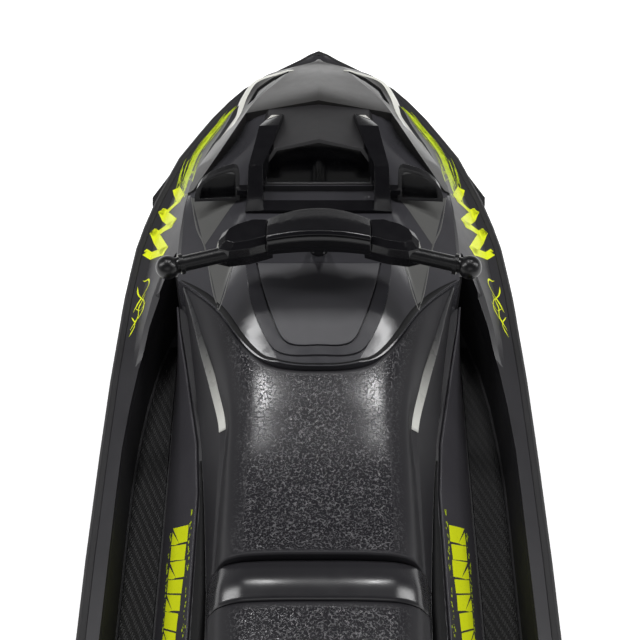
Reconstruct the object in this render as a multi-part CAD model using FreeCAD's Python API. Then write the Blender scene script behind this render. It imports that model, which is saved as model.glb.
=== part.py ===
import FreeCAD, Part
import math
import os

# Sit-down personal watercraft as a radio-controlled scale model, in millimetres.
# The origin lies on the waterline at mid-length, +Y to the bow, +X to starboard.
# A place along the craft is a share of its length, counted from the stern.

# Hull moulding
length = 612.0
half_beam = 116.0
keel_depth = 48.0
bond_height = 42.0
bow_rise = 27.0
rise_start_share = 0.60
rise_curve_share = 1.6
edge_band = 4.0
chine_step = 3.0
strake_step = 1.6
strake_share = 0.52
strake_out_share = 1.02
keel_flat_share = 0.10
chine_in_share = 0.96
chine_inset_share = 0.02

# Soft rail round the bond line
bumper_width = 5.0
bumper_height = 9.0
bumper_bevel = 1.8
bumper_tip_share = 0.990
bumper_low_share = 0.70
bumper_high_share = 0.60

# Clearances between pieces, and the overrun of every cut
seat_gap = 0.3
overrun = 40.0

# Hull edge seen from above: share of the length, share of the half breadth inside the rail
edge_shares = (
    (0.010, 0.919), (0.060, 0.938), (0.108, 0.955), (0.150, 0.967), (0.206, 0.978),
    (0.260, 0.987), (0.327, 0.995), (0.396, 1.000), (0.500, 1.000), (0.579, 0.996),
    (0.649, 0.982), (0.656, 0.981), (0.676, 0.975), (0.703, 0.961), (0.734, 0.943),
    (0.761, 0.912), (0.793, 0.864), (0.831, 0.790), (0.848, 0.755), (0.876, 0.665),
    (0.900, 0.584), (0.922, 0.495), (0.939, 0.413), (0.950, 0.336), (0.966, 0.204),
    (0.979, 0.090), (0.987, 0.030),
)
half_edge = half_beam - bumper_width

# Bottom of the hull: share of the length, keel height as a share of the keel depth, chine
# breadth and chine height as shares of the half breadth
bottom_shares = (
    (0.00, -0.97, 0.890, -0.075), (0.25, -1.00, 0.940, -0.075), (0.60, -1.00, 0.945, -0.060),
    (0.70, -0.98, 0.890, -0.030), (0.80, -0.86, 0.740, 0.050), (0.88, -0.55, 0.520, 0.170),
    (0.94, -0.02, 0.290, 0.310), (0.975, 0.52, 0.085, 0.420), (1.00, 1.02, 0.010, 0.520),
)

# Deck moulding: flange of the gunwale, and the shoulder where the raised middle begins
flange_rise = 2.2
flange_width = 6.0
flange_narrowing_share = 2.0
shoulder_limit_share = 0.92
pedestal_rise = 14.0
pedestal_height = bond_height + pedestal_rise
# Share of the length, shoulder breadth as a share of the half breadth, shoulder height over
# the bond line as a share of the pedestal rise
shoulder_shares = (
    (0.000, 0.560, 0.500), (0.108, 0.560, 0.500), (0.136, 0.560, 0.500), (0.150, 0.545, 1.000),
    (0.450, 0.545, 1.000), (0.500, 0.563, 1.000), (0.544, 0.608, 1.000), (0.600, 0.665, 1.000),
    (0.649, 0.716, 0.933), (0.655, 0.720, 0.919), (0.656, 0.720, 2.497), (0.703, 0.712, 2.700),
    (0.750, 0.692, 2.778), (0.793, 0.640, 2.399), (0.831, 0.588, 1.879), (0.860, 0.545, 1.352),
    (0.890, 0.500, 0.947), (0.920, 0.460, 0.730), (0.944, 0.380, 0.705), (0.957, 0.220, 0.632),
    (0.969, 0.060, 0.505), (1.000, 0.010, 0.231),
)

# Footwells: share of the length, then floor inner line, crease line and outer line as shares
# of the half breadth, crease height as a share of the pedestal rise above the bond line, and
# floor height as a share of the bond height
footwell_wall = 1.7
footwell_draft = 8.0
footwell_shares = (
    (0.116, 0.739, 0.640, 0.945, 0.720, 1.133), (0.170, 0.739, 0.560, 0.935, 0.920, 0.347),
    (0.230, 0.739, 0.541, 0.950, 0.880, 0.307), (0.450, 0.739, 0.541, 0.955, 0.880, 0.307),
    (0.500, 0.739, 0.563, 0.952, 0.920, 0.307), (0.544, 0.739, 0.608, 0.935, 0.920, 0.307),
    (0.585, 0.739, 0.650, 0.910, 0.920, 0.307), (0.628, 0.739, 0.697, 0.865, 0.920, 0.320),
    (0.655, 0.737, 0.718, 0.815, 0.920, 0.360), (0.672, 0.733, 0.724, 0.772, 0.920, 0.427),
    (0.684, 0.728, 0.723, 0.734, 0.920, 0.533),
)
# Rise of the deck along the outer side of the footwells, as a share of the pedestal rise
coaming_shares = (
    (0.580, 0.43), (0.605, 0.62), (0.628, 0.92), (0.655, 1.35), (0.672, 1.62), (0.690, 1.72),
    (0.706, 1.65),
)
coaming_lip_share = 0.30
mat_thickness = 1.2
mat_margin = 1.5
panel_thickness = 1.2
panel_foot_share = 0.06
panel_head_share = 0.96
stern_mat_breadth_share = 0.5225
stern_mat_rear_share = 0.020
stern_mat_front_share = 0.104

# Front hood: share of the length, then height on the centreline, breadth and height of the
# crease, breadth and height of the rim; heights over the pedestal as shares of the hood rise
hood_rise = 60.0
hood_skirt = 4.0
rim_drop = 2.2
rim_band_share = 0.05
hood_breadth_share = 0.568
hood_half = hood_breadth_share * half_edge
hood_shares = (
    (0.972, 0.350, 0.010, 0.348, 0.020, 0.343), (0.958, 0.410, 0.140, 0.395, 0.330, 0.333),
    (0.944, 0.478, 0.285, 0.443, 0.630, 0.314), (0.920, 0.613, 0.350, 0.546, 0.775, 0.281),
    (0.890, 0.758, 0.480, 0.642, 0.845, 0.275), (0.860, 0.894, 0.605, 0.733, 0.930, 0.333),
    (0.831, 0.981, 0.690, 0.816, 1.000, 0.420),
)
# Side arms behind the hood: breadth and height of the inner edge, then of the outer edge
arm_depth = 12.0
arm_shares = (
    (0.831, 0.690, 0.816, 1.000, 0.420), (0.786, 0.940, 0.681, 1.135, 0.517),
    (0.748, 1.150, 0.579, 1.205, 0.536),
)
# Headlamps in the hood: share of the length, share of the hood half breadth
lamp_inset = 1.2
lamp_shares = (
    (0.934, 0.300), (0.934, 0.470), (0.923, 0.630), (0.898, 0.720), (0.900, 0.640), (0.913, 0.520),
    (0.924, 0.400), (0.929, 0.310),
)

# Cowl under the handlebar: share of the length, then breadth and height of the outer edge, two
# facet creases and the edge of the flat console; heights over the pedestal as shares of the
# cowl rise
cowl_rise = 54.0
cowl_skirt = 8.6
cowl_breadth_share = 0.712
cowl_half = cowl_breadth_share * half_edge
cowl_shares = (
    (0.831, 0.755, 0.481, 0.745, 0.491, 0.555, 0.786, 0.400, 0.900),
    (0.786, 0.885, 0.552, 0.870, 0.562, 0.620, 0.745, 0.455, 0.860),
    (0.748, 0.960, 0.562, 0.940, 0.593, 0.650, 0.806, 0.500, 0.835),
    (0.696, 0.978, 0.505, 0.850, 0.629, 0.620, 0.806, 0.510, 0.880),
    (0.650, 0.992, 0.434, 0.770, 0.644, 0.592, 0.786, 0.505, 0.965),
    (0.598, 1.000, 0.338, 0.680, 0.637, 0.660, 0.668, 0.462, 0.935),
    (0.570, 0.995, 0.300, 0.668, 0.570, 0.645, 0.602, 0.402, 0.862),
    (0.542, 0.990, 0.267, 0.655, 0.521, 0.625, 0.552, 0.290, 0.785),
    (0.520, 0.990, 0.226, 0.640, 0.470, 0.610, 0.498, 0.220, 0.720),
)
# Seam between cowl and seat, from the centre out to the wing tips
seam_gap = 0.6
seam_shares = (
    (0.000, 0.530), (0.140, 0.5305), (0.275, 0.534), (0.381, 0.541), (0.518, 0.562), (0.673, 0.597),
    (0.840, 0.627), (1.000, 0.652),
)
# Lid of the console and the raised border round it: share of the cowl half breadth, share of
# the length, from the centre out
border_rise = 1.2
border_shares = (
    (0.000, 0.539), (0.185, 0.539), (0.276, 0.543), (0.342, 0.554), (0.411, 0.574), (0.462, 0.601),
    (0.489, 0.631), (0.500, 0.646),
)
lid_thickness = 1.2
lid_groove = 0.8
lid_shares = (
    (0.000, 0.5480), (0.159, 0.5482), (0.211, 0.551), (0.264, 0.561), (0.332, 0.585), (0.380, 0.607),
    (0.410, 0.627),
)

# Dash behind the hood, with its hexagonal display
dash_front_share = 0.831
dash_face_share = 0.736
dash_breadth_share = 0.524
dash_half = dash_breadth_share * hood_half
dash_rise = 8.0
dash_face_depth = 14.0
dash_face_height = 24.0
dash_face_top = pedestal_height + hood_rise + dash_rise
# Front edge of the dash: share of its half breadth, height as a share of the hood rise
dash_front_shares = ((0.0, 0.931), (0.9, 0.864), (1.0, 0.768), (1.0, 0.613))
# Display face: share of the half breadth, share of the face height
display_shares = (
    (0.0, 1.0), (0.76, 0.80), (0.97, 0.42), (0.95, 0.0), (-0.95, 0.0), (-0.97, 0.42), (-0.76, 0.80),
)
display_margin = 2.2
display_inset = 1.2
display_thickness = 0.9

# Struts and crossbar round the display
frame_bar = 8.0
frame_inset = 1.5
frame_inner = dash_half - frame_inset
frame_drop = 4.0
frame_top = pedestal_height + cowl_rise - frame_drop
frame_depth = 15.0
frame_rear_share = 0.696
trough_depth = 9.0
# Share of the length, inner and outer edge as shares of the inner breadth, bottom, then inner
# and outer top against the crossbar top as shares of the frame depth
strut_shares = (
    (0.816, 0.64, 0.88, -0.56, 0.34, 0.34), (0.803, 0.66, 0.97, -0.62, 0.86, 0.56),
    (0.786, 0.73, 1.08, -0.70, 0.92, 0.88), (0.757, 0.84, 1.16, -0.90, 0.94, 0.90),
    (0.733, 0.99, 1.24, -1.0, 0.86, 0.83), (0.709, 0.98, 1.26, -1.0, 0.22, 0.18),
    (0.696, 0.97, 1.29, -1.0, 0.00, -0.05),
)

# Mirrors beside the struts
mirror_arm = 4.6
mirror_inner = frame_inner + frame_bar + mirror_arm
mirror_length = 25.5
mirror_share = 0.714
mirror_drop = 3.0
mirror_base = frame_top - mirror_drop
mirror_height = 15.5
mirror_lean = 10.0
mirror_thickness = 6.0
mirror_rim = 1.6
mirror_glass_inset = 0.8
mirror_centre_shares = (0.45, 0.42)
mirror_shares = (
    (0.00, 0.00), (1.00, -0.05), (1.00, 0.12), (0.95, 0.33), (0.85, 0.53), (0.70, 0.70), (0.50, 0.84),
    (0.28, 0.94), (0.10, 1.00), (0.03, 0.96), (0.00, 0.86),
)
# Scale of the outline and depth through the housing as a share of its thickness
mirror_back_shares = ((1.0, 0.0), (0.94, 0.7), (0.7, 1.0))

# Handlebar on its leaning column
column_foot_share = 0.650
column_foot_drop = 10.0
column_foot = pedestal_height + cowl_rise - column_foot_drop
column_lean = 25.0
column_radius = 5.0
column_reach = 51.0
column_depth = 11.0
column_clearance = 0.08
pad_half = 26.0
pad_length = 18.5
pad_height = 14.0
pad_setback = 34.1
pad_rise = 34.0
pad_arch = 6.8
pad_crown = 2.0
# Across the pad: share of its half breadth; then its cross-section from the rear roll round the
# front: share of its length from the rear, share of its height, and share of the front arch
pad_stations = (-1.0, -0.75, -0.45, 0.0, 0.45, 0.75, 1.0)
pad_shares = (
    (0.14, 0.00, 0.3), (0.85, 0.00, 0.6), (0.97, 0.22, 0.9), (1.00, 0.50, 1.0), (0.96, 0.72, 1.0),
    (0.55, 0.93, 0.7), (0.12, 1.00, 0.3), (0.02, 0.92, 0.3), (0.07, 0.80, 0.3), (0.00, 0.70, 0.3),
    (-0.03, 0.42, 0.3), (0.02, 0.15, 0.3),
)
pod_reach = 25.5
pod_drop = 4.0
# Pod outline: share of its reach beyond the pad, share of the pad length from the pad front
pod_shares = (
    (-0.12, 0.02), (0.24, 0.00), (0.69, 0.26), (0.92, 0.52), (1.00, 0.82), (0.99, 1.14), (0.76, 1.24),
    (0.34, 1.14), (-0.12, 0.90),
)
# Height through the pod as a share of the pad height, and the scale of its outline there
pod_levels = ((0.00, 0.84), (0.16, 0.98), (0.60, 1.00), (0.92, 0.92), (1.10, 0.70))
pod_centre_shares = (0.36, 0.34)
grip_radius = 4.0
grip_inner = 40.0
grip_inner_setback = 32.6
grip_outer = 75.0
grip_outer_setback = 43.7
grip_rise = 4.0
ball_radius = 6.0
collar_radius = 5.2
collar_length = 2.0

# Seat: share of the length, breadth of the foot, of the side, of the bevel above it and of the
# shoulder as shares of the seat half breadth, then heights of the last three and of the centre
# over the pedestal as shares of the seat rise
seat_breadth_share = 0.450
seat_half = seat_breadth_share * half_edge
seat_rise = 42.0
seat_front_shares = (
    (0.658, 1.535, 1.560, 1.530, 1.440, 0.560, 0.610, 0.700, 0.977),
    (0.620, 1.450, 1.390, 1.320, 1.200, 0.525, 0.600, 0.755, 0.965),
    (0.575, 1.365, 1.235, 1.150, 1.020, 0.480, 0.565, 0.765, 0.942),
    (0.530, 1.285, 1.095, 1.010, 0.920, 0.450, 0.535, 0.740, 0.895),
    (0.490, 1.215, 1.010, 0.950, 0.875, 0.430, 0.500, 0.690, 0.820),
    (0.440, 1.150, 1.000, 0.965, 0.870, 0.425, 0.475, 0.665, 0.778),
    (0.390, 1.100, 1.000, 0.970, 0.870, 0.450, 0.495, 0.740, 0.850),
    (0.354, 1.067, 1.000, 0.970, 0.865, 0.487, 0.535, 0.830, 0.985),
)
bolster_shares = (
    (0.354, 1.067, 1.000, 0.985, 0.870, 0.487, 0.530, 0.725, 0.860),
    (0.336, 1.060, 1.010, 0.995, 0.885, 0.487, 0.535, 0.775, 0.918),
    (0.320, 1.055, 1.010, 0.995, 0.885, 0.487, 0.530, 0.740, 0.883),
)
seat_rear_shares = (
    (0.320, 1.055, 1.010, 0.995, 0.880, 0.487, 0.530, 0.730, 0.872),
    (0.270, 1.040, 1.000, 0.985, 0.850, 0.510, 0.555, 0.800, 0.942),
    (0.200, 1.000, 0.960, 0.945, 0.785, 0.510, 0.555, 0.820, 0.965),
    (0.160, 0.940, 0.900, 0.880, 0.710, 0.487, 0.525, 0.725, 0.837),
    (0.148, 0.895, 0.860, 0.840, 0.640, 0.393, 0.420, 0.540, 0.603),
)
# Crown between shoulder and centre: share of the shoulder breadth, share of the rise
crown_shares = (0.75, 0.78)
seat_pan_thickness = 3.0
pan_breadth_share = 0.97

# Jet drive on its axis above the keel line
jet_axis_rise = 30.0
jet_height = jet_axis_rise - keel_depth
jet_front_share = 0.150
jet_bore = 14.6
jet_wall = 2.6
jet_flange = 21.0
flange_thickness = 3.0
jet_length = 46.0
cone_length = 14.0
cone_radius = 10.5
tunnel_clearance = 5.0
tunnel_radius = jet_flange + tunnel_clearance
vane_count = 5
vane_thickness = 1.2
vane_length = 12.0
hub_radius = 4.6
blade_clearance = 0.5
blade_count = 3
blade_steps = 6
blade_thickness = 1.4
blade_twist = 100.0
blade_root_share = 0.60
# Stretch of the blades along the hub, and the length of the hub in its space
blade_span_shares = (0.08, 0.92)
hub_share = 0.80
shaft_radius = 1.5
bearing_clearance = 0.05
nozzle_wall = 1.8
nozzle_length = 24.0
nozzle_gap = 0.6
nozzle_taper_share = 0.82
nozzle_bore_share = 0.80
pivot_radius = 1.5
pivot_clearance = 0.05
boss_radius = 3.0
ear_width = 8.0
ear_thickness = 2.4
ear_gap = 1.2
ear_overlap = 1.5

# Water intake below the hull
intake_half = 14.0
intake_rear_share = 0.165
intake_front_share = 0.270
duct_mouth_share = 0.9
duct_roof_share = 0.3
grate_recess = 8.0
grate_top = grate_recess - keel_depth
grate_bars = 5
grate_bar_width = 1.8
grate_bar_height = 3.0
grate_frame = 2.4
ride_plate_thickness = 2.4
ride_plate_length = 40.0

# Battery bay under the seat, with the motor at its rear
bay_wall = 22.0
bay_half = footwell_shares[2][2] * half_edge - bay_wall
bay_front_share = 0.520
bay_rear_share = 0.185
bay_floor_rise = 6.0
bay_floor = jet_height + bay_floor_rise
battery_length = 60.0
battery_width = 44.0
battery_height = 24.0
battery_front_gap = 6.0
motor_radius = 13.0
motor_length = 46.0
motor_gap = 18.0

# Side fins, spray deflectors and tow eyes
sponson_height = 9.0
sponson_width = 5.0
sponson_root = 10.0
sponson_base = 1.0
sponson_bevel_share = 0.60
# Share of the length, share of the full width
sponson_shares = ((0.130, 0.50), (0.166, 1.0), (0.238, 1.0), (0.310, 0.15))
deflector_height = 6.0
deflector_drop = 2.0
deflector_shares = ((0.859, 0.771), (0.808, 0.892), (0.798, 0.888), (0.798, 0.790))
eye_radius = 2.0
eye_outer = 4.2
eye_thickness = 3.0
eye_lug = 5.0
eye_lug_length = 12.6
bow_eye_share = 0.983
bow_eye_drop = 6.6
stern_eye_height = 14.0
stern_eye_side = 52.0
stern_eye_reach = 2.94


def place_y(share):
    """Place along the craft for a share of its length counted from the stern."""
    return (share - 0.5) * length


def table_at(rows, share):
    """Straight-line reading of a share table between its rows."""
    ordered = sorted(rows)
    if share <= ordered[0][0]:
        return ordered[0][1:]
    for low, high in zip(ordered, ordered[1:]):
        if share <= high[0]:
            part = (share - low[0]) / (high[0] - low[0])
            return tuple(a + (b - a) * part for a, b in zip(low[1:], high[1:]))
    return ordered[-1][1:]


def bond_line(share):
    """Height of the line where the hull and deck mouldings meet."""
    rise = max(0.0, share - rise_start_share) / (1.0 - rise_start_share)
    return bond_height + bow_rise * rise ** rise_curve_share


def deck_height(share):
    """Height of the raised middle of the deck."""
    return bond_line(share) + table_at(shoulder_shares, share)[1] * pedestal_rise


def wire(points):
    """Closed polygon through a list of points."""
    corners = [FreeCAD.Vector(*point) for point in points]
    return Part.makePolygon(corners + corners[:1])


def loft(sections):
    """Solid with straight rulings through closed polygons."""
    return Part.makeLoft([wire(points) for points in sections], True, True)


def smooth_loft(sections):
    """Solid with curved surfaces through closed polygons of like corners."""
    return Part.makeLoft([wire(points) for points in sections], True, False)


def section(share, half_points):
    """Symmetric cross-section from its starboard half, from the bottom up to the centre."""
    y = place_y(share)
    right = [(x, y, z) for x, z in half_points]
    left = [(-x, y, z) for x, z in reversed(half_points) if x > 0]
    return right + left


def prism(points, bottom, top):
    """Upright solid over a plan outline."""
    face = Part.Face(wire([(x, y, bottom) for x, y in points]))
    return face.extrude(FreeCAD.Vector(0, 0, top - bottom))


def mirrored(shape):
    """Copy on the other side of the centreline."""
    return shape.mirror(FreeCAD.Vector(0, 0, 0), FreeCAD.Vector(1, 0, 0))


def rounded_plate(plan, corners=()):
    """Tall space over a plan with a smooth half outline from the centre out, then corners."""
    bottom = bond_height - overrun
    outline = [(-x, y) for x, y in reversed(plan) if x > 0] + list(plan)
    curve = Part.BSplineCurve()
    curve.interpolate([FreeCAD.Vector(x, y, bottom) for x, y in outline])
    ends = [plan[-1]] + list(corners) + [(-x, y) for x, y in reversed(list(corners))] + [outline[0]]
    places = [FreeCAD.Vector(x, y, bottom) for x, y in ends]
    lines = [Part.makeLine(start, end) for start, end in zip(places, places[1:])]
    face = Part.Face(Part.Wire([curve.toShape()] + lines))
    return face.extrude(FreeCAD.Vector(0, 0, pedestal_height + cowl_rise + overrun - bottom))


def above_deck(plan):
    """Tall space over a plan outline, from inside the deck to above everything."""
    return prism(plan, bond_height - overrun, pedestal_height + cowl_rise + overrun)


def both(plan):
    """Plan outline given from the centre outwards, closed on the other side."""
    return list(plan) + [(-x, y) for x, y in reversed(plan)]


def cylinder(radius, start, direction, reach):
    """Round bar from a start point along a direction."""
    return Part.makeCylinder(radius, reach, FreeCAD.Vector(*start), FreeCAD.Vector(*direction))


def cone(radius, end_radius, start, direction, reach):
    """Tapered bar from a start point along a direction."""
    return Part.makeCone(radius, end_radius, reach, FreeCAD.Vector(*start), FreeCAD.Vector(*direction))


def box(x_range, y_range, z_range):
    """Upright box between pairs of limits."""
    sides = [high - low for low, high in (x_range, y_range, z_range)]
    return Part.makeBox(*sides, FreeCAD.Vector(x_range[0], y_range[0], z_range[0]))


def unit(x, y):
    """Plane direction of unit length."""
    size = math.hypot(x, y)
    return x / size, y / size


def main_solid(shape):
    """Largest solid of a result, without cutting crumbs."""
    return max(shape.Solids, key=lambda solid: solid.Volume)


def pairs(name, shape):
    """Starboard piece and its port twin."""
    return {name + "_right": shape, name + "_left": mirrored(shape)}


def save(name, shape):
    """Write one piece as its own file."""
    solids = shape.Solids
    solid = solids[0] if len(solids) == 1 else Part.makeCompound(solids)
    solid.exportStep("parts/" + name + ".step")
    print(name, len(solids), round(shape.Volume, 1), shape.isValid())


def hull_form():
    """Closed hull below the bond line, with a chine and a lifting strake."""
    sections = []
    for share, breadth in edge_shares:
        edge = breadth * half_edge
        bond = bond_line(share)
        keel_share, chine_share, chine_rise = table_at(bottom_shares, share)
        keel = min(keel_share * keel_depth, bond - 3 * edge_band)
        chine = min(chine_share * half_edge, edge * (1 - chine_inset_share))
        chine_z = min(chine_rise * half_edge, bond - 2 * edge_band)
        strake = chine * strake_share
        strake_z = keel + (chine_z - keel) * strake_share
        sections.append(section(share, [
            (strake * keel_flat_share, keel), (strake, strake_z),
            (strake * strake_out_share, strake_z + strake_step), (chine * chine_in_share, chine_z),
            (chine, chine_z + chine_step), (edge, bond - edge_band), (edge, bond),
        ]))
    return loft(sections)


def deck_form():
    """Closed deck moulding above the bond line."""
    sections = []
    for share, breadth in edge_shares:
        edge = breadth * half_edge
        bond = bond_line(share)
        flange = edge - flange_width * min(1.0, flange_narrowing_share * breadth)
        shoulder = min(table_at(shoulder_shares, share)[0] * half_edge, flange * shoulder_limit_share)
        sections.append(section(share, [
            (edge, bond), (edge, bond + edge_band), (flange, bond + edge_band + flange_rise),
            (shoulder, deck_height(share)),
        ]))
    return loft(sections)


def footwell_line(share):
    """Floor inner and outer points, crease point, crease height and floor height."""
    floor_in, crease, outer, crease_rise, floor_share = table_at(footwell_shares, share)
    floor_out = outer * half_edge - footwell_draft * (outer - crease) / outer
    floor_x = min(floor_in * half_edge, floor_out)
    rim = bond_height + crease_rise * pedestal_rise
    return floor_x, floor_out, crease * half_edge, rim, floor_share * bond_height


def footwell_solid(wall, top):
    """Starboard footwell space, or its tray when a wall is given."""
    sections = []
    for row in footwell_shares:
        y = place_y(row[0])
        floor_x, floor_out, crease, rim, bottom = footwell_line(row[0])
        outer = row[3] * half_edge + wall
        sections.append([
            (floor_x - wall, y, bottom - wall), (floor_out + wall, y, bottom - wall), (outer, y, top),
            (crease - wall, y, top), (crease - wall, y, rim),
        ])
    return loft(sections)


def coaming():
    """Slope from the raised front deck down along the outer side of the starboard footwell."""
    sections = []
    for share, rise in coaming_shares:
        y = place_y(share)
        bond = bond_line(share)
        edge = table_at(edge_shares, share)[0] * half_edge
        flange = edge - flange_width
        outer = min(table_at(footwell_shares, share)[2] * half_edge, flange - footwell_wall)
        top = bond + rise * pedestal_rise
        inner = outer - footwell_wall
        lip = outer + (flange - outer) * coaming_lip_share
        side = bond + edge_band + flange_rise
        low = bond + edge_band / 2
        corners = ((inner, low), (flange, low), (flange, side), (lip, top), (inner, top))
        sections.append([(x, y, z) for x, z in corners])
    return loft(sections)


def bumper_rail():
    """Soft rail round the bond line, from one stern corner to the other."""
    side = [(breadth * half_edge, place_y(share), bond_line(share)) for share, breadth in edge_shares]
    tip = [(0.0, place_y(bumper_tip_share), bond_line(bumper_tip_share))]
    path = side + tip + [(-x, y, z) for x, y, z in reversed(side)]
    half = bumper_height / 2
    sections = []
    for index, (x, y, z) in enumerate(path):
        before = path[max(index - 1, 0)]
        after = path[min(index + 1, len(path) - 1)]
        first = unit(x - before[0], y - before[1]) if index else unit(after[0] - x, after[1] - y)
        second = unit(after[0] - x, after[1] - y) if index < len(path) - 1 else first
        out_x, out_y = unit(first[1] + second[1], -first[0] - second[0])
        reach = bumper_width / (out_x * first[1] - out_y * first[0])
        profile = [
            (0.0, z - edge_band), (reach * bumper_low_share, z - half),
            (reach, z - half + bumper_bevel), (reach, z + half - bumper_bevel),
            (reach * bumper_high_share, z + half), (0.0, z + edge_band),
        ]
        sections.append([(x + out_x * away, y + out_y * away, up) for away, up in profile])
    return loft(sections)


def hood_level(share):
    """Height for a share of the hood rise."""
    return pedestal_height + share * hood_rise


def hood_form():
    """Pointed front hood with its two side arms."""
    sections = []
    for share, centre, crease_x, crease_z, rim_x, rim_z in hood_shares:
        rim = rim_x * hood_half
        top = hood_level(rim_z)
        sections.append(section(share, [
            (rim, pedestal_height + hood_skirt), (rim, top - rim_drop * rim_x),
            (rim * (1 - rim_band_share), top), (crease_x * hood_half, hood_level(crease_z)),
            (0.0, hood_level(centre)),
        ]))
    arms = []
    for share, inner_x, inner_z, outer_x, outer_z in arm_shares:
        y = place_y(share)
        inner = inner_x * hood_half
        outer = outer_x * hood_half
        top = hood_level(inner_z)
        side = hood_level(outer_z)
        arms.append([
            (inner, y, top - arm_depth), (outer, y, side - arm_depth), (outer, y, side), (inner, y, top),
        ])
    arm = loft(arms)
    return smooth_loft(sections).fuse([arm, mirrored(arm)])


def cowl_form():
    """Faceted cowl from behind the hood to the seat."""
    bottom = pedestal_height - cowl_skirt
    sections = []
    for row in cowl_shares:
        edges = [(row[i] * cowl_half, pedestal_height + row[i + 1] * cowl_rise) for i in (1, 3, 5, 7)]
        sections.append(section(row[0], [(row[1] * cowl_half, bottom)] + edges))
    return smooth_loft(sections)


def ahead_of_seam(gap):
    """Tall space in front of the seam between cowl and seat."""
    seam = [(x * cowl_half, place_y(share) + gap) for x, share in seam_shares]
    return rounded_plate(seam, [(half_beam, seam[-1][1]), (half_beam, place_y(1.0))])


def seat_section(row):
    """Cross-section of a cushion: flat below, straight sides with a bevel and a curved crown."""
    y = place_y(row[0])
    foot, half, ledge, shoulder = [seat_half * part for part in row[1:5]]
    side_z, ledge_z, shoulder_z, centre_z = [pedestal_height + part * seat_rise for part in row[5:]]
    bottom = pedestal_height + seat_gap + seat_pan_thickness
    out, up = crown_shares
    shelf = shoulder_z + (centre_z - shoulder_z) * up
    right = [(ledge, ledge_z), (shoulder, shoulder_z), (shoulder * out, shelf)]
    left = [(-x, z) for x, z in reversed(right)]
    crown = Part.BSplineCurve()
    crown.interpolate([FreeCAD.Vector(x, y, z) for x, z in right + [(0.0, centre_z)] + left])
    side = [(foot, bottom), (half, side_z), (ledge, ledge_z)]
    path = [(-x, z) for x, z in reversed(side)] + side
    corners = [FreeCAD.Vector(x, y, z) for x, z in path]
    lines = [Part.makeLine(start, end) for start, end in zip(corners, corners[1:])]
    return Part.Wire(lines + [crown.toShape()])


def seat_part(rows):
    """Closed cushion, smooth along its length."""
    return Part.makeLoft([seat_section(row) for row in rows], True, False)


def column_axis():
    """Foot of the steering column and its direction."""
    lean = math.radians(column_lean)
    foot = FreeCAD.Vector(0, place_y(column_foot_share), column_foot)
    return foot, FreeCAD.Vector(0, -math.sin(lean), math.cos(lean))


def column_bar(radius, reach, depth):
    """Round bar on the axis of the steering column."""
    foot, lean = column_axis()
    return Part.makeCylinder(radius, reach, foot - lean * depth, lean)


def display_plane(margin, inset):
    """Corners of the hexagonal display face, shrunk by a margin and set in."""
    slope = math.hypot(dash_face_depth, dash_face_height)
    scale_x = 1 - margin / dash_half
    scale_up = 1 - 2 * margin / slope
    base_y = place_y(dash_face_share) + inset
    base_z = dash_face_top - dash_face_height
    corners = []
    for across, up in display_shares:
        height = up * scale_up + margin / slope
        corners.append((across * dash_half * scale_x, base_y + dash_face_depth * height,
                        base_z + dash_face_height * height))
    return corners


def dash_form():
    """Raised panel behind the hood that ends in the display face."""
    y = place_y(dash_front_share)
    right = [(x * dash_half, y, hood_level(up)) for x, up in dash_front_shares]
    left = [(-x, y, z) for x, y, z in reversed(right) if x > 0]
    return loft([right + left, display_plane(0.0, 0.0)])


def display_solid(depth_from, depth_to):
    """Plate or pocket that follows the display face."""
    return loft([display_plane(display_margin, depth_from), display_plane(display_margin, depth_to)])


def frame_form():
    """Two struts and a crossbar round the display."""
    rear = place_y(frame_rear_share)
    sections = []
    for share, inner, outer, low, high, side in strut_shares:
        y = place_y(share)
        inside = inner * frame_inner
        outside = outer * frame_inner
        bottom, top, edge = [frame_top + part * frame_depth for part in (low, high, side)]
        sections.append([(inside, y, bottom), (outside, y, bottom), (outside, y, edge), (inside, y, top)])
    strut = loft(sections)
    bar = box((-frame_inner, frame_inner), (rear, rear + frame_bar), (frame_top - frame_depth, frame_top))
    return strut.fuse([mirrored(strut), bar])


def mirror_face(scale, shift):
    """Outline of the mirror in its leaning plane, starboard side."""
    middle, centre = mirror_centre_shares
    points = []
    for across, up in mirror_shares:
        across = middle + (across - middle) * scale
        up = centre + (up - centre) * scale
        points.append((mirror_inner + across * mirror_length,
                       place_y(mirror_share) + up * mirror_lean + shift, mirror_base + up * mirror_height))
    return points


def mirror_pieces():
    """Mirror housing with its arm and the glossy plate, starboard side."""
    housing = loft([mirror_face(scale, depth * mirror_thickness) for scale, depth in mirror_back_shares])
    inside = 1 - 2 * mirror_rim / mirror_height
    glass = loft([mirror_face(inside, 0.0), mirror_face(inside, mirror_glass_inset)])
    housing = housing.cut(loft([mirror_face(inside, -mirror_rim), mirror_face(inside, mirror_glass_inset)]))
    y = place_y(mirror_share)
    arm = box((mirror_inner - mirror_arm, mirror_inner + mirror_rim), (y + mirror_rim, y + mirror_thickness),
              (mirror_base, mirror_base + mirror_thickness))
    return housing.fuse(arm), glass


def handlebar_pad():
    """Padded cover over the clamp, arched to the front, with a roll behind."""
    rear = place_y(column_foot_share) - pad_setback
    bottom = column_foot + pad_rise
    sections = []
    for part in pad_stations:
        bow = 1 - part * part
        sections.append([
            (part * pad_half, rear + back * pad_length + arch * pad_arch * bow,
             bottom + up * (pad_height + pad_crown * bow))
            for back, up, arch in pad_shares
        ])
    return smooth_loft(sections)


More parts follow.
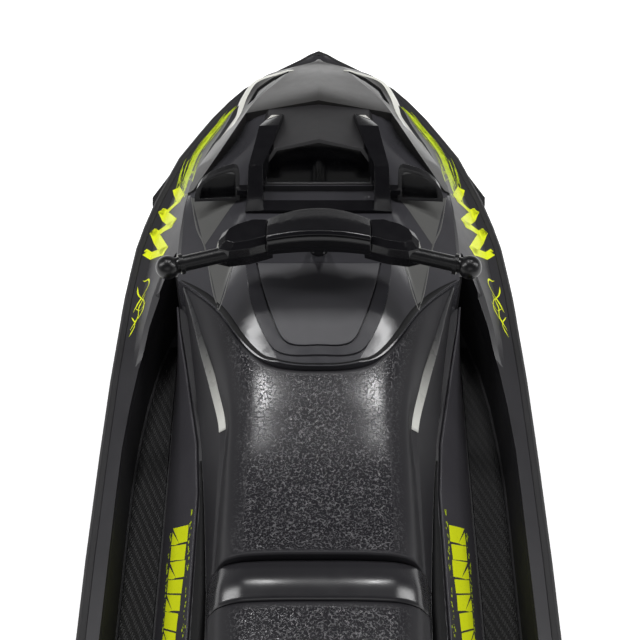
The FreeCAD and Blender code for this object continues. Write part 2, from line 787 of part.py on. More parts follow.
def control_pod(pad):
    """Control housing between pad and grip, starboard side."""
    front = place_y(column_foot_share) - pad_setback + pad_length
    bottom = column_foot + pad_rise - pod_drop
    middle, centre = pod_centre_shares
    sections = []
    for up, scale in pod_levels:
        sections.append([
            (pad_half + (middle + (across - middle) * scale) * pod_reach,
             front - (centre + (back - centre) * scale) * pad_length, bottom + up * pad_height)
            for across, back in pod_shares
        ])
    return loft(sections).cut(pad)


def handlebar_grip(pod):
    """Bar with its collar and ball end, starboard side."""
    foot = place_y(column_foot_share)
    height = column_foot + pad_rise + grip_rise
    inner = FreeCAD.Vector(grip_inner, foot - grip_inner_setback, height)
    outer = FreeCAD.Vector(grip_outer, foot - grip_outer_setback, height)
    along = (outer - inner).normalize()
    bar = Part.makeCylinder(grip_radius, inner.distanceToPoint(outer), inner, along)
    collar_at = outer - along * (ball_radius + collar_length)
    collar = Part.makeCylinder(collar_radius, collar_length, collar_at, along)
    return bar.fuse([collar, Part.makeSphere(ball_radius, outer)]).cut(pod)


def handlebar_pieces():
    """Column, centre pad, control pods and grips."""
    pad = handlebar_pad()
    pod = main_solid(control_pod(pad))
    pieces = {"steering_column": column_bar(column_radius, column_reach, column_depth).cut(pad)}
    pieces["handlebar_pad"] = pad
    pieces.update(pairs("control_pod", pod))
    pieces.update(pairs("handlebar_grip", handlebar_grip(pod)))
    return pieces


def jet_stations():
    """Places of the front of the jet, of the cone and of the stator vanes."""
    front = place_y(jet_front_share)
    return front, front - jet_length, front - jet_length + vane_length


def on_axis(radius, y, reach):
    """Round bar on the jet axis, running aft."""
    return cylinder(radius, (0, y, jet_height), (0, -1, 0), reach)


def jet_housing():
    """Jet housing with its flange, stator vanes and bearing."""
    y_front, y_cone, y_vane = jet_stations()
    outer = jet_bore + jet_wall
    tail = cone(outer, cone_radius + jet_wall / 2, (0, y_cone, jet_height), (0, -1, 0), cone_length)
    taper = cone(jet_bore, cone_radius, (0, y_cone, jet_height), (0, -1, 0), cone_length)
    shell = on_axis(outer, y_front, jet_length).fuse([on_axis(jet_flange, y_front, flange_thickness), tail])
    shell = shell.cut(on_axis(jet_bore, y_front, jet_length).fuse(taper))
    vanes = []
    for index in range(vane_count):
        vane = box((-vane_thickness / 2, vane_thickness / 2), (y_cone, y_vane), (0, jet_bore + jet_wall / 2))
        vane.rotate(FreeCAD.Vector(0, 0, 0), FreeCAD.Vector(0, 1, 0), index * 360 / vane_count)
        vane.translate(FreeCAD.Vector(0, 0, jet_height))
        vanes.append(vane)
    hub = on_axis(hub_radius, y_vane, vane_length + cone_length / 2)
    bearing = on_axis(shaft_radius + bearing_clearance, y_vane + seat_gap, vane_length / 2 + seat_gap)
    return shell.fuse([hub] + vanes).cut(bearing)


def blade_section(turn, y):
    """Cross-section of one blade at an angle round the shaft."""
    inner = hub_radius * blade_root_share
    half = blade_thickness / 2
    tip = math.sqrt((jet_bore - blade_clearance) ** 2 - half ** 2)
    out_x, out_z = math.cos(turn), math.sin(turn)
    corners = ((inner, half), (tip, half), (tip, -half), (inner, -half))
    return [(out_x * away - out_z * off, y, jet_height + out_z * away + out_x * off) for away, off in corners]


def impeller():
    """Three skewed blades on a hub with its shaft to the motor."""
    y_front, y_cone, y_vane = jet_stations()
    start = y_vane + blade_clearance
    hub_length = (y_front - flange_thickness - start) * hub_share
    pieces = []
    for index in range(blade_count):
        sections = []
        for step in range(blade_steps + 1):
            part = step / blade_steps
            low, high = blade_span_shares
            turn = math.radians(index * 360 / blade_count + blade_twist * part)
            sections.append(blade_section(turn, start + hub_length * (high - (high - low) * part)))
        pieces.append(loft(sections))
    shaft_front = place_y(intake_front_share) + motor_gap
    pieces.append(on_axis(shaft_radius, shaft_front, shaft_front - y_vane + vane_length / 3))
    return on_axis(hub_radius, start + hub_length, hub_length).fuse(pieces)


def pivot_place():
    """Place of the nozzle pins along the craft and the radius at which its ears begin."""
    y_cone = jet_stations()[1]
    return y_cone - cone_length / 2, jet_bore + jet_wall + ear_gap


def steering_nozzle():
    """Steering nozzle with ears on two upright pins."""
    pivot_y, reach = pivot_place()
    front = pivot_y - ear_width / 2 - ear_overlap / 3
    outer = jet_bore + nozzle_wall
    shell = cone(outer, outer * nozzle_taper_share, (0, front, jet_height), (0, -1, 0), nozzle_length)
    bore = cone(jet_bore, jet_bore * nozzle_bore_share, (0, front, jet_height), (0, -1, 0), nozzle_length)
    pieces = []
    for side in (1, -1):
        levels = [jet_height + side * away for away in (jet_bore, reach, reach + ear_thickness)]
        root, near, far = levels
        across = (-ear_width / 2, ear_width / 2)
        rear = front - ear_width + ear_overlap
        tab = box(across, (rear, pivot_y + ear_width / 2), (min(near, far), max(near, far)))
        web = box(across, (rear, front), (min(root, far), max(root, far)))
        pieces.append(tab.fuse(web.cut(bore)))
    pin_hole = pivot_radius + pivot_clearance
    hole = cylinder(pin_hole, (0, pivot_y, jet_height - overrun), (0, 0, 1), 2 * overrun)
    return shell.cut(bore).fuse(pieces).cut(hole)


def jet_drive():
    """Housing with its pivot pins, impeller and steering nozzle."""
    pivot_y, reach = pivot_place()
    root = cone_radius + jet_wall
    post = cylinder(pivot_radius, (0, pivot_y, jet_height + root), (0, 0, 1), reach + ear_thickness - root)
    boss = cylinder(boss_radius, (0, pivot_y, jet_height + root), (0, 0, 1), reach - nozzle_gap - root)
    upper = post.fuse(boss)
    lower = upper.mirror(FreeCAD.Vector(0, 0, jet_height), FreeCAD.Vector(0, 0, 1))
    housing = jet_housing().fuse([upper, lower])
    return {"jet_housing": housing, "impeller": impeller(), "steering_nozzle": steering_nozzle()}


def footwell_mat():
    """Grip mat on the footwell floor, starboard side."""
    sections = []
    for row in footwell_shares[1:-2]:
        floor_x, floor_out, crease, rim, bottom = footwell_line(row[0])
        inner = floor_x + mat_margin
        outer = floor_out - mat_margin
        y = place_y(row[0])
        top = bottom + mat_thickness
        sections.append([(inner, y, bottom), (outer, y, bottom), (outer, y, top), (inner, y, top)])
    return loft(sections)


def side_panel():
    """Trim plate on the sloping side of the pedestal, starboard side."""
    sections = []
    for row in footwell_shares[1:-2]:
        floor_x, floor_out, crease, rim, bottom = footwell_line(row[0])
        y = place_y(row[0])
        ends = [(floor_x + (crease - floor_x) * part, bottom + (rim - bottom) * part)
                for part in (panel_foot_share, panel_head_share)]
        (low_x, low_z), (high_x, high_z) = ends
        away_x, away_z = unit(high_z - low_z, low_x - high_x)
        near, far = seat_gap, seat_gap + panel_thickness
        corners = [(low_x, low_z, near), (low_x, low_z, far), (high_x, high_z, far), (high_x, high_z, near)]
        sections.append([(x + away_x * away, y, z + away_z * away) for x, z, away in corners])
    return loft(sections)


def bay_space():
    """Battery bay below the seat."""
    return box((-bay_half, bay_half), (place_y(bay_rear_share), place_y(bay_front_share)),
               (bay_floor, pedestal_height + overrun))


def tunnel_space():
    """Arched tunnel for the jet drive, open below and at the transom."""
    front = place_y(jet_front_share)
    rear = place_y(0) - overrun
    slot = box((-tunnel_radius, tunnel_radius), (rear, front), (jet_height - overrun, jet_height))
    return on_axis(tunnel_radius, front, front - rear).fuse(slot)


def duct_corners():
    """Side outline of the water intake duct."""
    front = place_y(intake_front_share)
    jet = place_y(jet_front_share)
    mouth = jet_bore * duct_mouth_share
    bottom = -keel_depth - bumper_width
    return [(jet, jet_height + mouth), ((front + jet) / 2, jet_height + jet_bore * duct_roof_share),
            (front, bottom), (place_y(intake_rear_share), bottom), (jet, jet_height - mouth)]


def duct_space():
    """Water intake duct from the bottom of the hull to the jet."""
    outline = Part.Face(wire([(-intake_half, y, z) for y, z in duct_corners()]))
    return outline.extrude(FreeCAD.Vector(2 * intake_half, 0, 0))


def intake_grate():
    """Bars across the water intake."""
    (roof_y, roof_z), (front_y, front_z), (rear_y, rear_z) = duct_corners()[1:4]
    part = (grate_top - front_z) / (roof_z - front_z)
    front = front_y + (roof_y - front_y) * part - seat_gap
    rear = rear_y + seat_gap
    half = intake_half - seat_gap
    levels = (grate_top - grate_bar_height, grate_top)
    inside = half - grate_frame
    frame = box((-half, half), (rear, front), levels)
    frame = frame.cut(box((-inside, inside), (rear + grate_frame, front - grate_frame), levels))
    pitch = 2 * inside / (grate_bars + 1)
    bars = []
    for index in range(grate_bars):
        x = pitch * (index + 1) - inside
        bars.append(box((x - grate_bar_width / 2, x + grate_bar_width / 2), (rear, front), levels))
    return frame.fuse(bars)


def motor_front():
    """Place of the front face of the motor."""
    return place_y(intake_front_share) + motor_gap + motor_length


def motor_space(gap):
    """Motor body, or its well in the hull when a gap is given."""
    front = motor_front() + gap
    reach = motor_length + 2 * gap
    well = on_axis(motor_radius + gap, front, reach)
    if gap:
        sides = motor_radius + gap
        well = well.fuse(box((-sides, sides), (front - reach, front), (jet_height, bay_floor)))
    return well


def battery():
    """Battery block on the floor of the bay."""
    front = place_y(bay_front_share) - battery_front_gap
    return box((-battery_width / 2, battery_width / 2), (front - battery_length, front),
               (bay_floor, bay_floor + battery_height))


def ride_plate(hull_block):
    """Plate below the jet that carries the V of the bottom across the tunnel."""
    half = tunnel_radius - seat_gap
    rear = place_y(edge_shares[0][0])
    below_jet = box((-half, half), (rear, rear + ride_plate_length), (-2 * keel_depth, jet_height))
    slab = hull_block.common(below_jet)
    inner = hull_block.copy()
    inner.translate(FreeCAD.Vector(0, 0, ride_plate_thickness))
    return main_solid(slab.cut(inner))


def sponson(hull_solid):
    """Side fin near the chine, starboard side."""
    high = sponson_base + sponson_height
    sections = []
    for share, part in sponson_shares:
        y = place_y(share)
        side = table_at(edge_shares, share)[0] * half_edge
        inner = side - sponson_width - sponson_root
        outer = side - sponson_width + sponson_width * part
        sections.append([
            (inner, y, sponson_base), (outer, y, sponson_base),
            (outer, y, sponson_base + sponson_height * sponson_bevel_share), (inner, y, high),
        ])
    return main_solid(loft(sections).cut(hull_solid))


def spray_deflector(hull_solid, rail):
    """Spray deflector that stands out under the rail, starboard side."""
    top = bond_line(deflector_shares[2][0]) - deflector_drop
    plan = [(x * half_beam, place_y(share)) for share, x in deflector_shares]
    return main_solid(prism(plan, top - deflector_height, top).cut([hull_solid, rail]))


def tow_eye(x, y, z, direction, hull_solid):
    """Ring on a short lug that stands out of the hull."""
    side = x - eye_thickness / 2
    ring = cylinder(eye_outer, (side, y, z), (1, 0, 0), eye_thickness)
    near = min(y, y - direction * eye_lug_length)
    lug = box((side, side + eye_thickness), (near, near + eye_lug_length), (z - eye_lug / 2, z + eye_lug / 2))
    hole = cylinder(eye_radius, (side - overrun, y, z), (1, 0, 0), 2 * overrun)
    return main_solid(ring.fuse(lug).cut(hull_solid).cut(hole))


def tow_eyes(hull):
    """One eye at the stem and two on the transom."""
    keel = table_at(bottom_shares, bow_eye_share)[0] * keel_depth
    stern_y = place_y(edge_shares[0][0]) - stern_eye_reach
    pieces = {"bow_eye": tow_eye(0, place_y(bow_eye_share), keel - bow_eye_drop, 1, hull)}
    pieces.update(pairs("stern_eye", tow_eye(stern_eye_side, stern_y, stern_eye_height, -1, hull)))
    return pieces


def hull_and_deck(hull_block):
    """Hull and deck mouldings with the footwell trays, bay, jet tunnel, duct and motor well."""
    high = pedestal_height + overrun
    space = footwell_solid(0.0, high)
    spaces = [space, mirrored(space)]
    tray = main_solid(footwell_solid(footwell_wall, high).common(hull_block).cut(space))
    wells = footwell_solid(footwell_wall, high).common(hull_block)
    shaft_reach = motor_front() - place_y(jet_front_share)
    shaft_way = on_axis(shaft_radius + bearing_clearance, motor_front(), shaft_reach)
    hull = hull_block.cut([wells, mirrored(wells), bay_space(), tunnel_space(), duct_space(),
                           motor_space(seat_gap), shaft_way])
    slope = coaming()
    deck = deck_form().fuse([slope, mirrored(slope)]).cut(spaces + [bay_space()])
    pieces = {"hull": main_solid(hull), "deck": main_solid(deck)}
    pieces.update(pairs("footwell_tray", tray))
    return pieces


def front_pieces(deck):
    """Hood, lamps, cowl, dash, display, frame and lid, seated on the deck in that order."""
    bore = column_bar(column_radius + column_clearance, column_reach + overrun, column_depth + seat_gap)
    rear = place_y(frame_rear_share)
    trough = box((-frame_inner, frame_inner), (rear + frame_bar, place_y(dash_face_share)),
                 (frame_top - trough_depth, frame_top + overrun))
    cowl = cowl_form().common(ahead_of_seam(0.0))
    cowl = main_solid(cowl.cut([deck, trough, bore]))
    lid_plan = [(x * cowl_half, place_y(share)) for x, share in lid_shares]
    opening = rounded_plate([(x + lid_groove * (x > 0), y - lid_groove) for x, y in lid_plan])
    border = cowl.common(rounded_plate([(x * cowl_half, place_y(share)) for x, share in border_shares]))
    border = border.cut(opening)
    border.translate(FreeCAD.Vector(0, 0, border_rise))
    cowl = main_solid(cowl.fuse(border).cut(bore))
    hood = main_solid(hood_form().cut([deck, cowl]))
    slot = above_deck([(x * hood_half, place_y(share)) for share, x in lamp_shares])
    lens = main_solid(hood.common(slot))
    lens.translate(FreeCAD.Vector(0, 0, -lamp_inset))
    lens = main_solid(lens.cut(deck))
    hood = main_solid(hood.cut([slot, mirrored(slot)]))
    display = display_solid(display_inset, display_inset + display_thickness)
    pocket = display_solid(-display_inset, display_inset + display_thickness)
    dash = main_solid(dash_form().cut([cowl, hood, pocket]))
    frame = main_solid(frame_form().cut([cowl, dash, display, hood]))
    lid = cowl.common(rounded_plate(lid_plan))
    lid.translate(FreeCAD.Vector(0, 0, lid_thickness))
    pieces = {"hood": hood, "cowl": cowl, "dash_panel": dash, "dash_display": display, "console_frame": frame}
    pieces["console_lid"] = main_solid(lid.cut([cowl, bore]))
    pieces.update(pairs("headlamp", lens))
    return pieces


def side_pieces(hull, rail):
    """Mats, side panels, deflectors and fins on both sides, and the mat on the stern deck."""
    pieces = pairs("footwell_mat", footwell_mat())
    pieces.update(pairs("side_panel", side_panel()))
    pieces.update(pairs("spray_deflector", spray_deflector(hull, rail)))
    pieces.update(pairs("sponson", sponson(hull)))
    half = stern_mat_breadth_share * half_edge
    level = deck_height(stern_mat_front_share)
    span = (place_y(stern_mat_rear_share), place_y(stern_mat_front_share))
    pieces["stern_mat"] = box((-half, half), span, (level, level + mat_thickness))
    return pieces


def seat_pieces():
    """Pan and cushions of the seat, cut to the seam of the cowl."""
    ahead = ahead_of_seam(-seam_gap)
    bottom = pedestal_height + seat_gap
    rows = seat_rear_shares[::-1] + seat_front_shares[::-1]
    plan = both([(row[1] * seat_half * pan_breadth_share, place_y(row[0])) for row in rows])
    pan = prism(plan, bottom, bottom + seat_pan_thickness).cut(ahead)
    return {
        "seat_front": main_solid(seat_part(seat_front_shares).cut(ahead)),
        "seat_bolster": seat_part(bolster_shares), "seat_rear": seat_part(seat_rear_shares),
        "seat_pan": main_solid(pan),
    }


def build():
    """All pieces of the watercraft by name."""
    hull_block = hull_form()
    pieces = hull_and_deck(hull_block)
    hull = pieces["hull"]
    pieces["bumper"] = bumper_rail()
    pieces.update(front_pieces(pieces["deck"]))
    mirror, glass = mirror_pieces()
    pieces.update(pairs("mirror", main_solid(mirror.cut([pieces["cowl"], pieces["console_frame"]]))))
    pieces.update(pairs("mirror_glass", glass))
    pieces.update(side_pieces(hull, pieces["bumper"]))
    pieces.update(tow_eyes(hull))
    pieces["intake_grate"] = intake_grate()
    pieces["ride_plate"] = ride_plate(hull_block)
    pieces["battery"] = battery()
    pieces["motor"] = motor_space(0.0)
    pieces.update(handlebar_pieces())
    pieces.update(seat_pieces())
    pieces.update(jet_drive())
    return pieces


os.makedirs("parts", exist_ok=True)
for piece_name, piece in build().items():
    save(piece_name, piece)
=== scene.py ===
"""Looks of a radio-controlled sit-down watercraft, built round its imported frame.

Tables hold millimetres and shares of the craft's length; single sizes are in metres.
"""

import logging
import math
import random
from dataclasses import dataclass, field, replace
from enum import Enum
from functools import cache
from typing import TypeVar

import bpy
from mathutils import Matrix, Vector
from mathutils.bvhtree import BVHTree


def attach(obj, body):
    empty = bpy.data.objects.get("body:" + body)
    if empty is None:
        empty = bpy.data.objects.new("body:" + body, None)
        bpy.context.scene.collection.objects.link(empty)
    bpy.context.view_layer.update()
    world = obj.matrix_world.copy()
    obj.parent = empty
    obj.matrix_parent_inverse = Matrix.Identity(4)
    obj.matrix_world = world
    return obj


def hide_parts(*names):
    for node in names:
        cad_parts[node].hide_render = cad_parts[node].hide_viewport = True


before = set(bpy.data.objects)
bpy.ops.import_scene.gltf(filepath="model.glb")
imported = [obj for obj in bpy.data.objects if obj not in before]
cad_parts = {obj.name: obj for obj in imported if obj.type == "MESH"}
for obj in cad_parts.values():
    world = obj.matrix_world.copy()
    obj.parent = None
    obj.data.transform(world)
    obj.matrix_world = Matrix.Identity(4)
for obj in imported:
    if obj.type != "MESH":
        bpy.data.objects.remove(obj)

LOG = logging.getLogger("watercraft")
LENGTH = 0.612
MM = 0.001
TINY = 1e-9
GRAIN = "grain"
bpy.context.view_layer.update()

Point = tuple[float, float, float]
Pair = tuple[float, float]
Row = tuple[float, ...]
Rows = tuple[Row, ...]
Output = bpy.types.NodeSocket
Value = TypeVar("Value", float, Vector)

# Levels between which most of a noise lies.
SPREAD = (0.3, 0.7)
NARROW = (0.35, 0.65)

# Line on which cowl and seat meet: share of the cowl's half breadth, share of the length.
SEAM_HALF = 79.032 * MM
SEAM: Rows = (
    (0.000, 0.530), (0.140, 0.5305), (0.275, 0.534), (0.381, 0.541), (0.518, 0.562),
    (0.673, 0.597), (0.840, 0.627), (1.000, 0.652),
)


def station(share: float) -> float:
    """Place along the craft, in metres, for a share of its length from the stern."""
    return (share - 0.5) * LENGTH


def plan(rows: Rows) -> list[Vector]:
    """Points in plan, in metres, for rows of x in millimetres and share of the length."""
    return [Vector((x * MM, station(share))) for x, share in rows]


def held(value: float) -> float:
    """The value, held between 0 and 1."""
    return min(1.0, max(0.0, value))


def shares(stretch: Pair, steps: int) -> list[float]:
    """Evenly spaced shares of the length, from one end of a stretch to the other."""
    low, high = stretch
    return [low + (high - low) * i / steps for i in range(steps + 1)]


def taper(part: float, tips: tuple[Pair, Pair]) -> float:
    """Share of a stroke's breadth at a part of its length, by growth and blunt of each tip."""
    (grow, blunt), (fall, thin) = tips
    return min(1.0, grow * part + blunt, fall * (1 - part) + thin)


def around(items: list | tuple, index: int) -> list:
    """The four items round the gap after an index, with the first and last repeated."""
    return [items[min(max(i, 0), len(items) - 1)] for i in range(index - 1, index + 3)]


def blend(knots: list[Value], gaps: list[float], part: float) -> Value:
    """Value on the smooth curve between the middle two of four knots.

    Args:
        knots: Four numbers or points in order.
        gaps: The three distances between them.
        part: Share of the way from the second knot to the third.

    Returns:
        The number or point there.
    """
    before, low, high, after = knots
    first, span, last = gaps
    slope_low = (high - before) / max(first + span, TINY) * span
    slope_high = (after - low) / max(span + last, TINY) * span
    square, cube = part * part, part ** 3
    return (low * (2 * cube - 3 * square + 1) + slope_low * (cube - 2 * square + part)
            + high * (3 * square - 2 * cube) + slope_high * (cube - square))


def smooth_row(rows: Rows, share: float) -> Row:
    """Smooth reading of a table of shares between its rows.

    Args:
        rows: Rows that start with a share and rise along the craft.
        share: The place to read.

    Returns:
        The values of the row at that place, without the share.
    """
    if share <= rows[0][0]:
        return rows[0][1:]
    if share >= rows[-1][0]:
        return rows[-1][1:]
    near = around(rows, next(i for i in range(len(rows) - 1) if share <= rows[i + 1][0]))
    gaps = [after[0] - before[0] for before, after in zip(near, near[1:])]
    part = (share - near[1][0]) / gaps[1]
    return tuple(blend(values, gaps, part) for values in list(zip(*near))[1:])


def curve_point(knots: list[Vector], at: float) -> Vector:
    """Point on the smooth curve through knots.

    Args:
        knots: The points it runs through.
        at: Place on the curve, counted in knots from the first.

    Returns:
        The point.
    """
    index = min(int(at), len(knots) - 2)
    near = around(knots, index)
    gaps = [(after - before).length for before, after in zip(near, near[1:])]
    return blend(near, gaps, at - index)


class Dice(random.Random):
    """Seeded chance for the brush marks."""

    def some(self, span: Pair) -> float:
        """The first of two values, plus a chance share of the second."""
        return span[0] + span[1] * self.random()


class Side(Enum):
    """The two sides of the craft, valued by the sign of x."""

    RIGHT = 1
    LEFT = -1

    def of(self, name: str) -> str:
        """Name of this side's copy of a piece."""
        return f"{name}_{self.name.lower()}"


class Socket(Enum):
    """Plain names for the shader sockets that the finishes set."""

    COLOUR = "Base Color"
    ROUGHNESS = "Roughness"
    METAL = "Metallic"
    SPECULAR = "Specular IOR Level"
    COAT = "Coat Weight"
    COAT_ROUGHNESS = "Coat Roughness"
    NORMAL = "Normal"


class Nodes:
    """A material under construction, with short calls for its nodes."""

    def __init__(self, name: str) -> None:
        """Start an empty material with one principled shader.

        Args:
            name: Name of the material.
        """
        self.material = bpy.data.materials.new(name)
        self.material.use_nodes = True
        self.tree = self.material.node_tree
        self.shader = next(n for n in self.tree.nodes if n.type == "BSDF_PRINCIPLED")
        self.place = self.add("ShaderNodeTexCoord").outputs["Object"]

    def add(self, kind: str, **settings: object) -> bpy.types.Node:
        """Add a node.

        Args:
            kind: Blender's name of the node type.
            **settings: Properties to set on it.

        Returns:
            The new node.
        """
        node = self.tree.nodes.new(kind)
        for key, value in settings.items():
            setattr(node, key, value)
        return node

    def feed(self, socket: bpy.types.NodeSocket, value: object) -> None:
        """Link an output to a socket, or set its value.

        Args:
            socket: The input to fill.
            value: A node output, a number, or a colour.
        """
        if isinstance(value, bpy.types.NodeSocket):
            self.tree.links.new(value, socket)
        elif isinstance(value, tuple) and len(value) == 3 and socket.type == "RGBA":
            socket.default_value = (*value, 1.0)
        else:
            socket.default_value = value

    def shade(self, socket: Socket, value: object) -> None:
        """Fill one socket of the principled shader with an output, a number or a colour."""
        self.feed(self.shader.inputs[socket.value], value)

    def math(self, operation: str, first: object, second: object = 0.0) -> Output:
        """Add a math node.

        Args:
            operation: Blender's name of the operation.
            first: First operand.
            second: Second operand.

        Returns:
            Its output.
        """
        node = self.add("ShaderNodeMath", operation=operation)
        for socket, value in zip(node.inputs, (first, second)):
            self.feed(socket, value)
        return node.outputs[0]

    def ramp(self, value: object, low: float, high: float, start: float = 0.0,
             end: float = 1.0) -> Output:
        """Map a value from one range onto another, with clamped ends.

        Args:
            value: The input.
            low: Input that gives start.
            high: Input that gives end.
            start: Result at low.
            end: Result at high.

        Returns:
            The mapped output.
        """
        node = self.add("ShaderNodeMapRange")
        for socket, amount in zip(node.inputs, (value, low, high, start, end)):
            self.feed(socket, amount)
        return node.outputs[0]

    def mix(self, part: object, first: object, second: object) -> Output:
        """Mix two colours.

        Args:
            part: Share of the second colour.
            first: First colour.
            second: Second colour.

        Returns:
            The mixed colour.
        """
        node = self.add("ShaderNodeMix", data_type="RGBA")
        for index, value in ((0, part), (6, first), (7, second)):
            self.feed(node.inputs[index], value)
        return node.outputs[2]

    def noise(self, size: float, detail: float = 2.0, place: object = None) -> Output:
        """Soft noise of a given feature size.

        Args:
            size: Size of one feature in metres.
            detail: Number of finer layers.
            place: Coordinates to use instead of the object's own.

        Returns:
            The noise from 0 to 1.
        """
        node = self.add("ShaderNodeTexNoise")
        self.feed(node.inputs["Vector"], place or self.place)
        self.feed(node.inputs["Scale"], 1.0 / size)
        self.feed(node.inputs["Detail"], detail)
        return node.outputs[0]

    def vary(self, size: float, detail: float, start: float, end: float,
             span: Row = SPREAD) -> Output:
        """Noise of a feature size whose levels in a span are mapped onto start to end."""
        return self.ramp(self.noise(size, detail), *span, start, end)

    def stretched(self, scale: Point, turn: float = 0.0) -> Output:
        """Object coordinates with a scale along each axis.

        Args:
            scale: Factor along x, y and z.
            turn: Angle about z in radians.

        Returns:
            The mapped coordinates.
        """
        node = self.add("ShaderNodeMapping")
        self.feed(node.inputs["Vector"], self.place)
        self.feed(node.inputs["Rotation"], (0.0, 0.0, turn))
        self.feed(node.inputs["Scale"], scale)
        return node.outputs[0]

    def relief(self, height: object, depth: float, under: object = None) -> Output:
        """Bump from a height.

        Args:
            height: Height from 0 to 1.
            depth: Height of the relief in metres.
            under: Normal of a coarser relief below this one.

        Returns:
            The bent normal.
        """
        node = self.add("ShaderNodeBump")
        self.feed(node.inputs["Height"], height)
        self.feed(node.inputs["Distance"], depth)
        self.feed(node.inputs["Strength"], 1.0)
        if under is not None:
            self.feed(node.inputs["Normal"], under)
        return node.outputs[0]

    def texture(self, size: float, depth: float, detail: float = 2.0) -> None:
        """Give the whole surface a fine relief of a feature size and depth."""
        self.shade(Socket.NORMAL, self.relief(self.noise(size, detail), depth))


@dataclass(frozen=True)
class Finish:
    """What all finishes share: a name, and a material that is painted with nodes."""

    name: str

    def paint(self, nodes: Nodes) -> None:
        """Lay out the nodes; each finish has its own way."""
        raise NotImplementedError

    def material(self) -> bpy.types.Material:
        """Build the material.

        Returns:
            The finished material.
        """
        nodes = Nodes(self.name)
        self.paint(nodes)
        return nodes.material


@dataclass(frozen=True)
class MouldedFinish(Finish):
    """Satin moulded plastic with a fine spark-eroded texture and rubbed spots."""

    colour: Point
    roughness: float = 0.42
    specular: float = 0.5
    grain_size: float = 0.45 * MM
    grain_depth: float = 0.012 * MM
    mottling: float = 0.07
    coat: float = 0.0
    coat_roughness: float = 0.12
    cloud: float = 38 * MM
    spot: float = 6 * MM
    rub: float = 0.02
    dust: float = 0.001

    def paint(self, nodes: Nodes) -> None:
        """Lay out the mottled colour, the rubbed gloss and the texture.

        Args:
            nodes: The material under construction.
        """
        pale = tuple(min(1.0, value * (1 + self.mottling) + self.dust) for value in self.colour)
        dark = tuple(value * (1 - self.mottling) for value in self.colour)
        cloud = nodes.vary(self.cloud, 3.0, 0.0, 1.0, NARROW)
        nodes.shade(Socket.COLOUR, nodes.mix(cloud, dark, pale))
        low, high = self.roughness - self.rub, self.roughness + self.rub
        nodes.shade(Socket.ROUGHNESS, nodes.vary(self.spot, 4.0, low, high))
        nodes.shade(Socket.SPECULAR, self.specular)
        nodes.shade(Socket.COAT, self.coat)
        nodes.shade(Socket.COAT_ROUGHNESS, self.coat_roughness)
        nodes.texture(self.grain_size, self.grain_depth)


@dataclass(frozen=True)
class ReflectionFadeFinish(Finish):
    """Satin trim whose colour fades from dark at its front end to pale at its rear end, the pale
    end a painted reflection.
    """

    dark: Point
    pale: Point
    front: float
    rear: float
    roughness: float = 0.26
    rub: float = 0.06
    specular: float = 0.35
    power: float = 1.5
    tarnish: float = 0.96
    tarnish_size: float = 3 * MM
    tarnish_levels: Pair = (0.2, 0.8)
    spot: float = 5 * MM
    grain_size: float = 0.4 * MM
    grain_depth: float = 0.008 * MM

    def paint(self, nodes: Nodes) -> None:
        """Lay out the painted reflection that fades in along the craft, and the satin.

        Args:
            nodes: The material under construction.
        """
        split = nodes.add("ShaderNodeSeparateXYZ")
        nodes.feed(split.inputs[0], nodes.place)
        # The fade from the dark colour to the pale one is a painted reflection, brightest at the
        # rear end; the tarnish varies it at random.
        fade = nodes.ramp(split.outputs[1], station(self.front), station(self.rear))
        tarnish = nodes.vary(self.tarnish_size, 3.0, self.tarnish, 1.0, self.tarnish_levels)
        fade = nodes.math("MULTIPLY", nodes.math("POWER", fade, self.power), tarnish)
        nodes.shade(Socket.COLOUR, nodes.mix(fade, self.dark, self.pale))
        nodes.shade(Socket.ROUGHNESS,
                    nodes.vary(self.spot, 3.0, self.roughness, self.roughness + self.rub))
        nodes.shade(Socket.SPECULAR, self.specular)
        nodes.texture(self.grain_size, self.grain_depth)


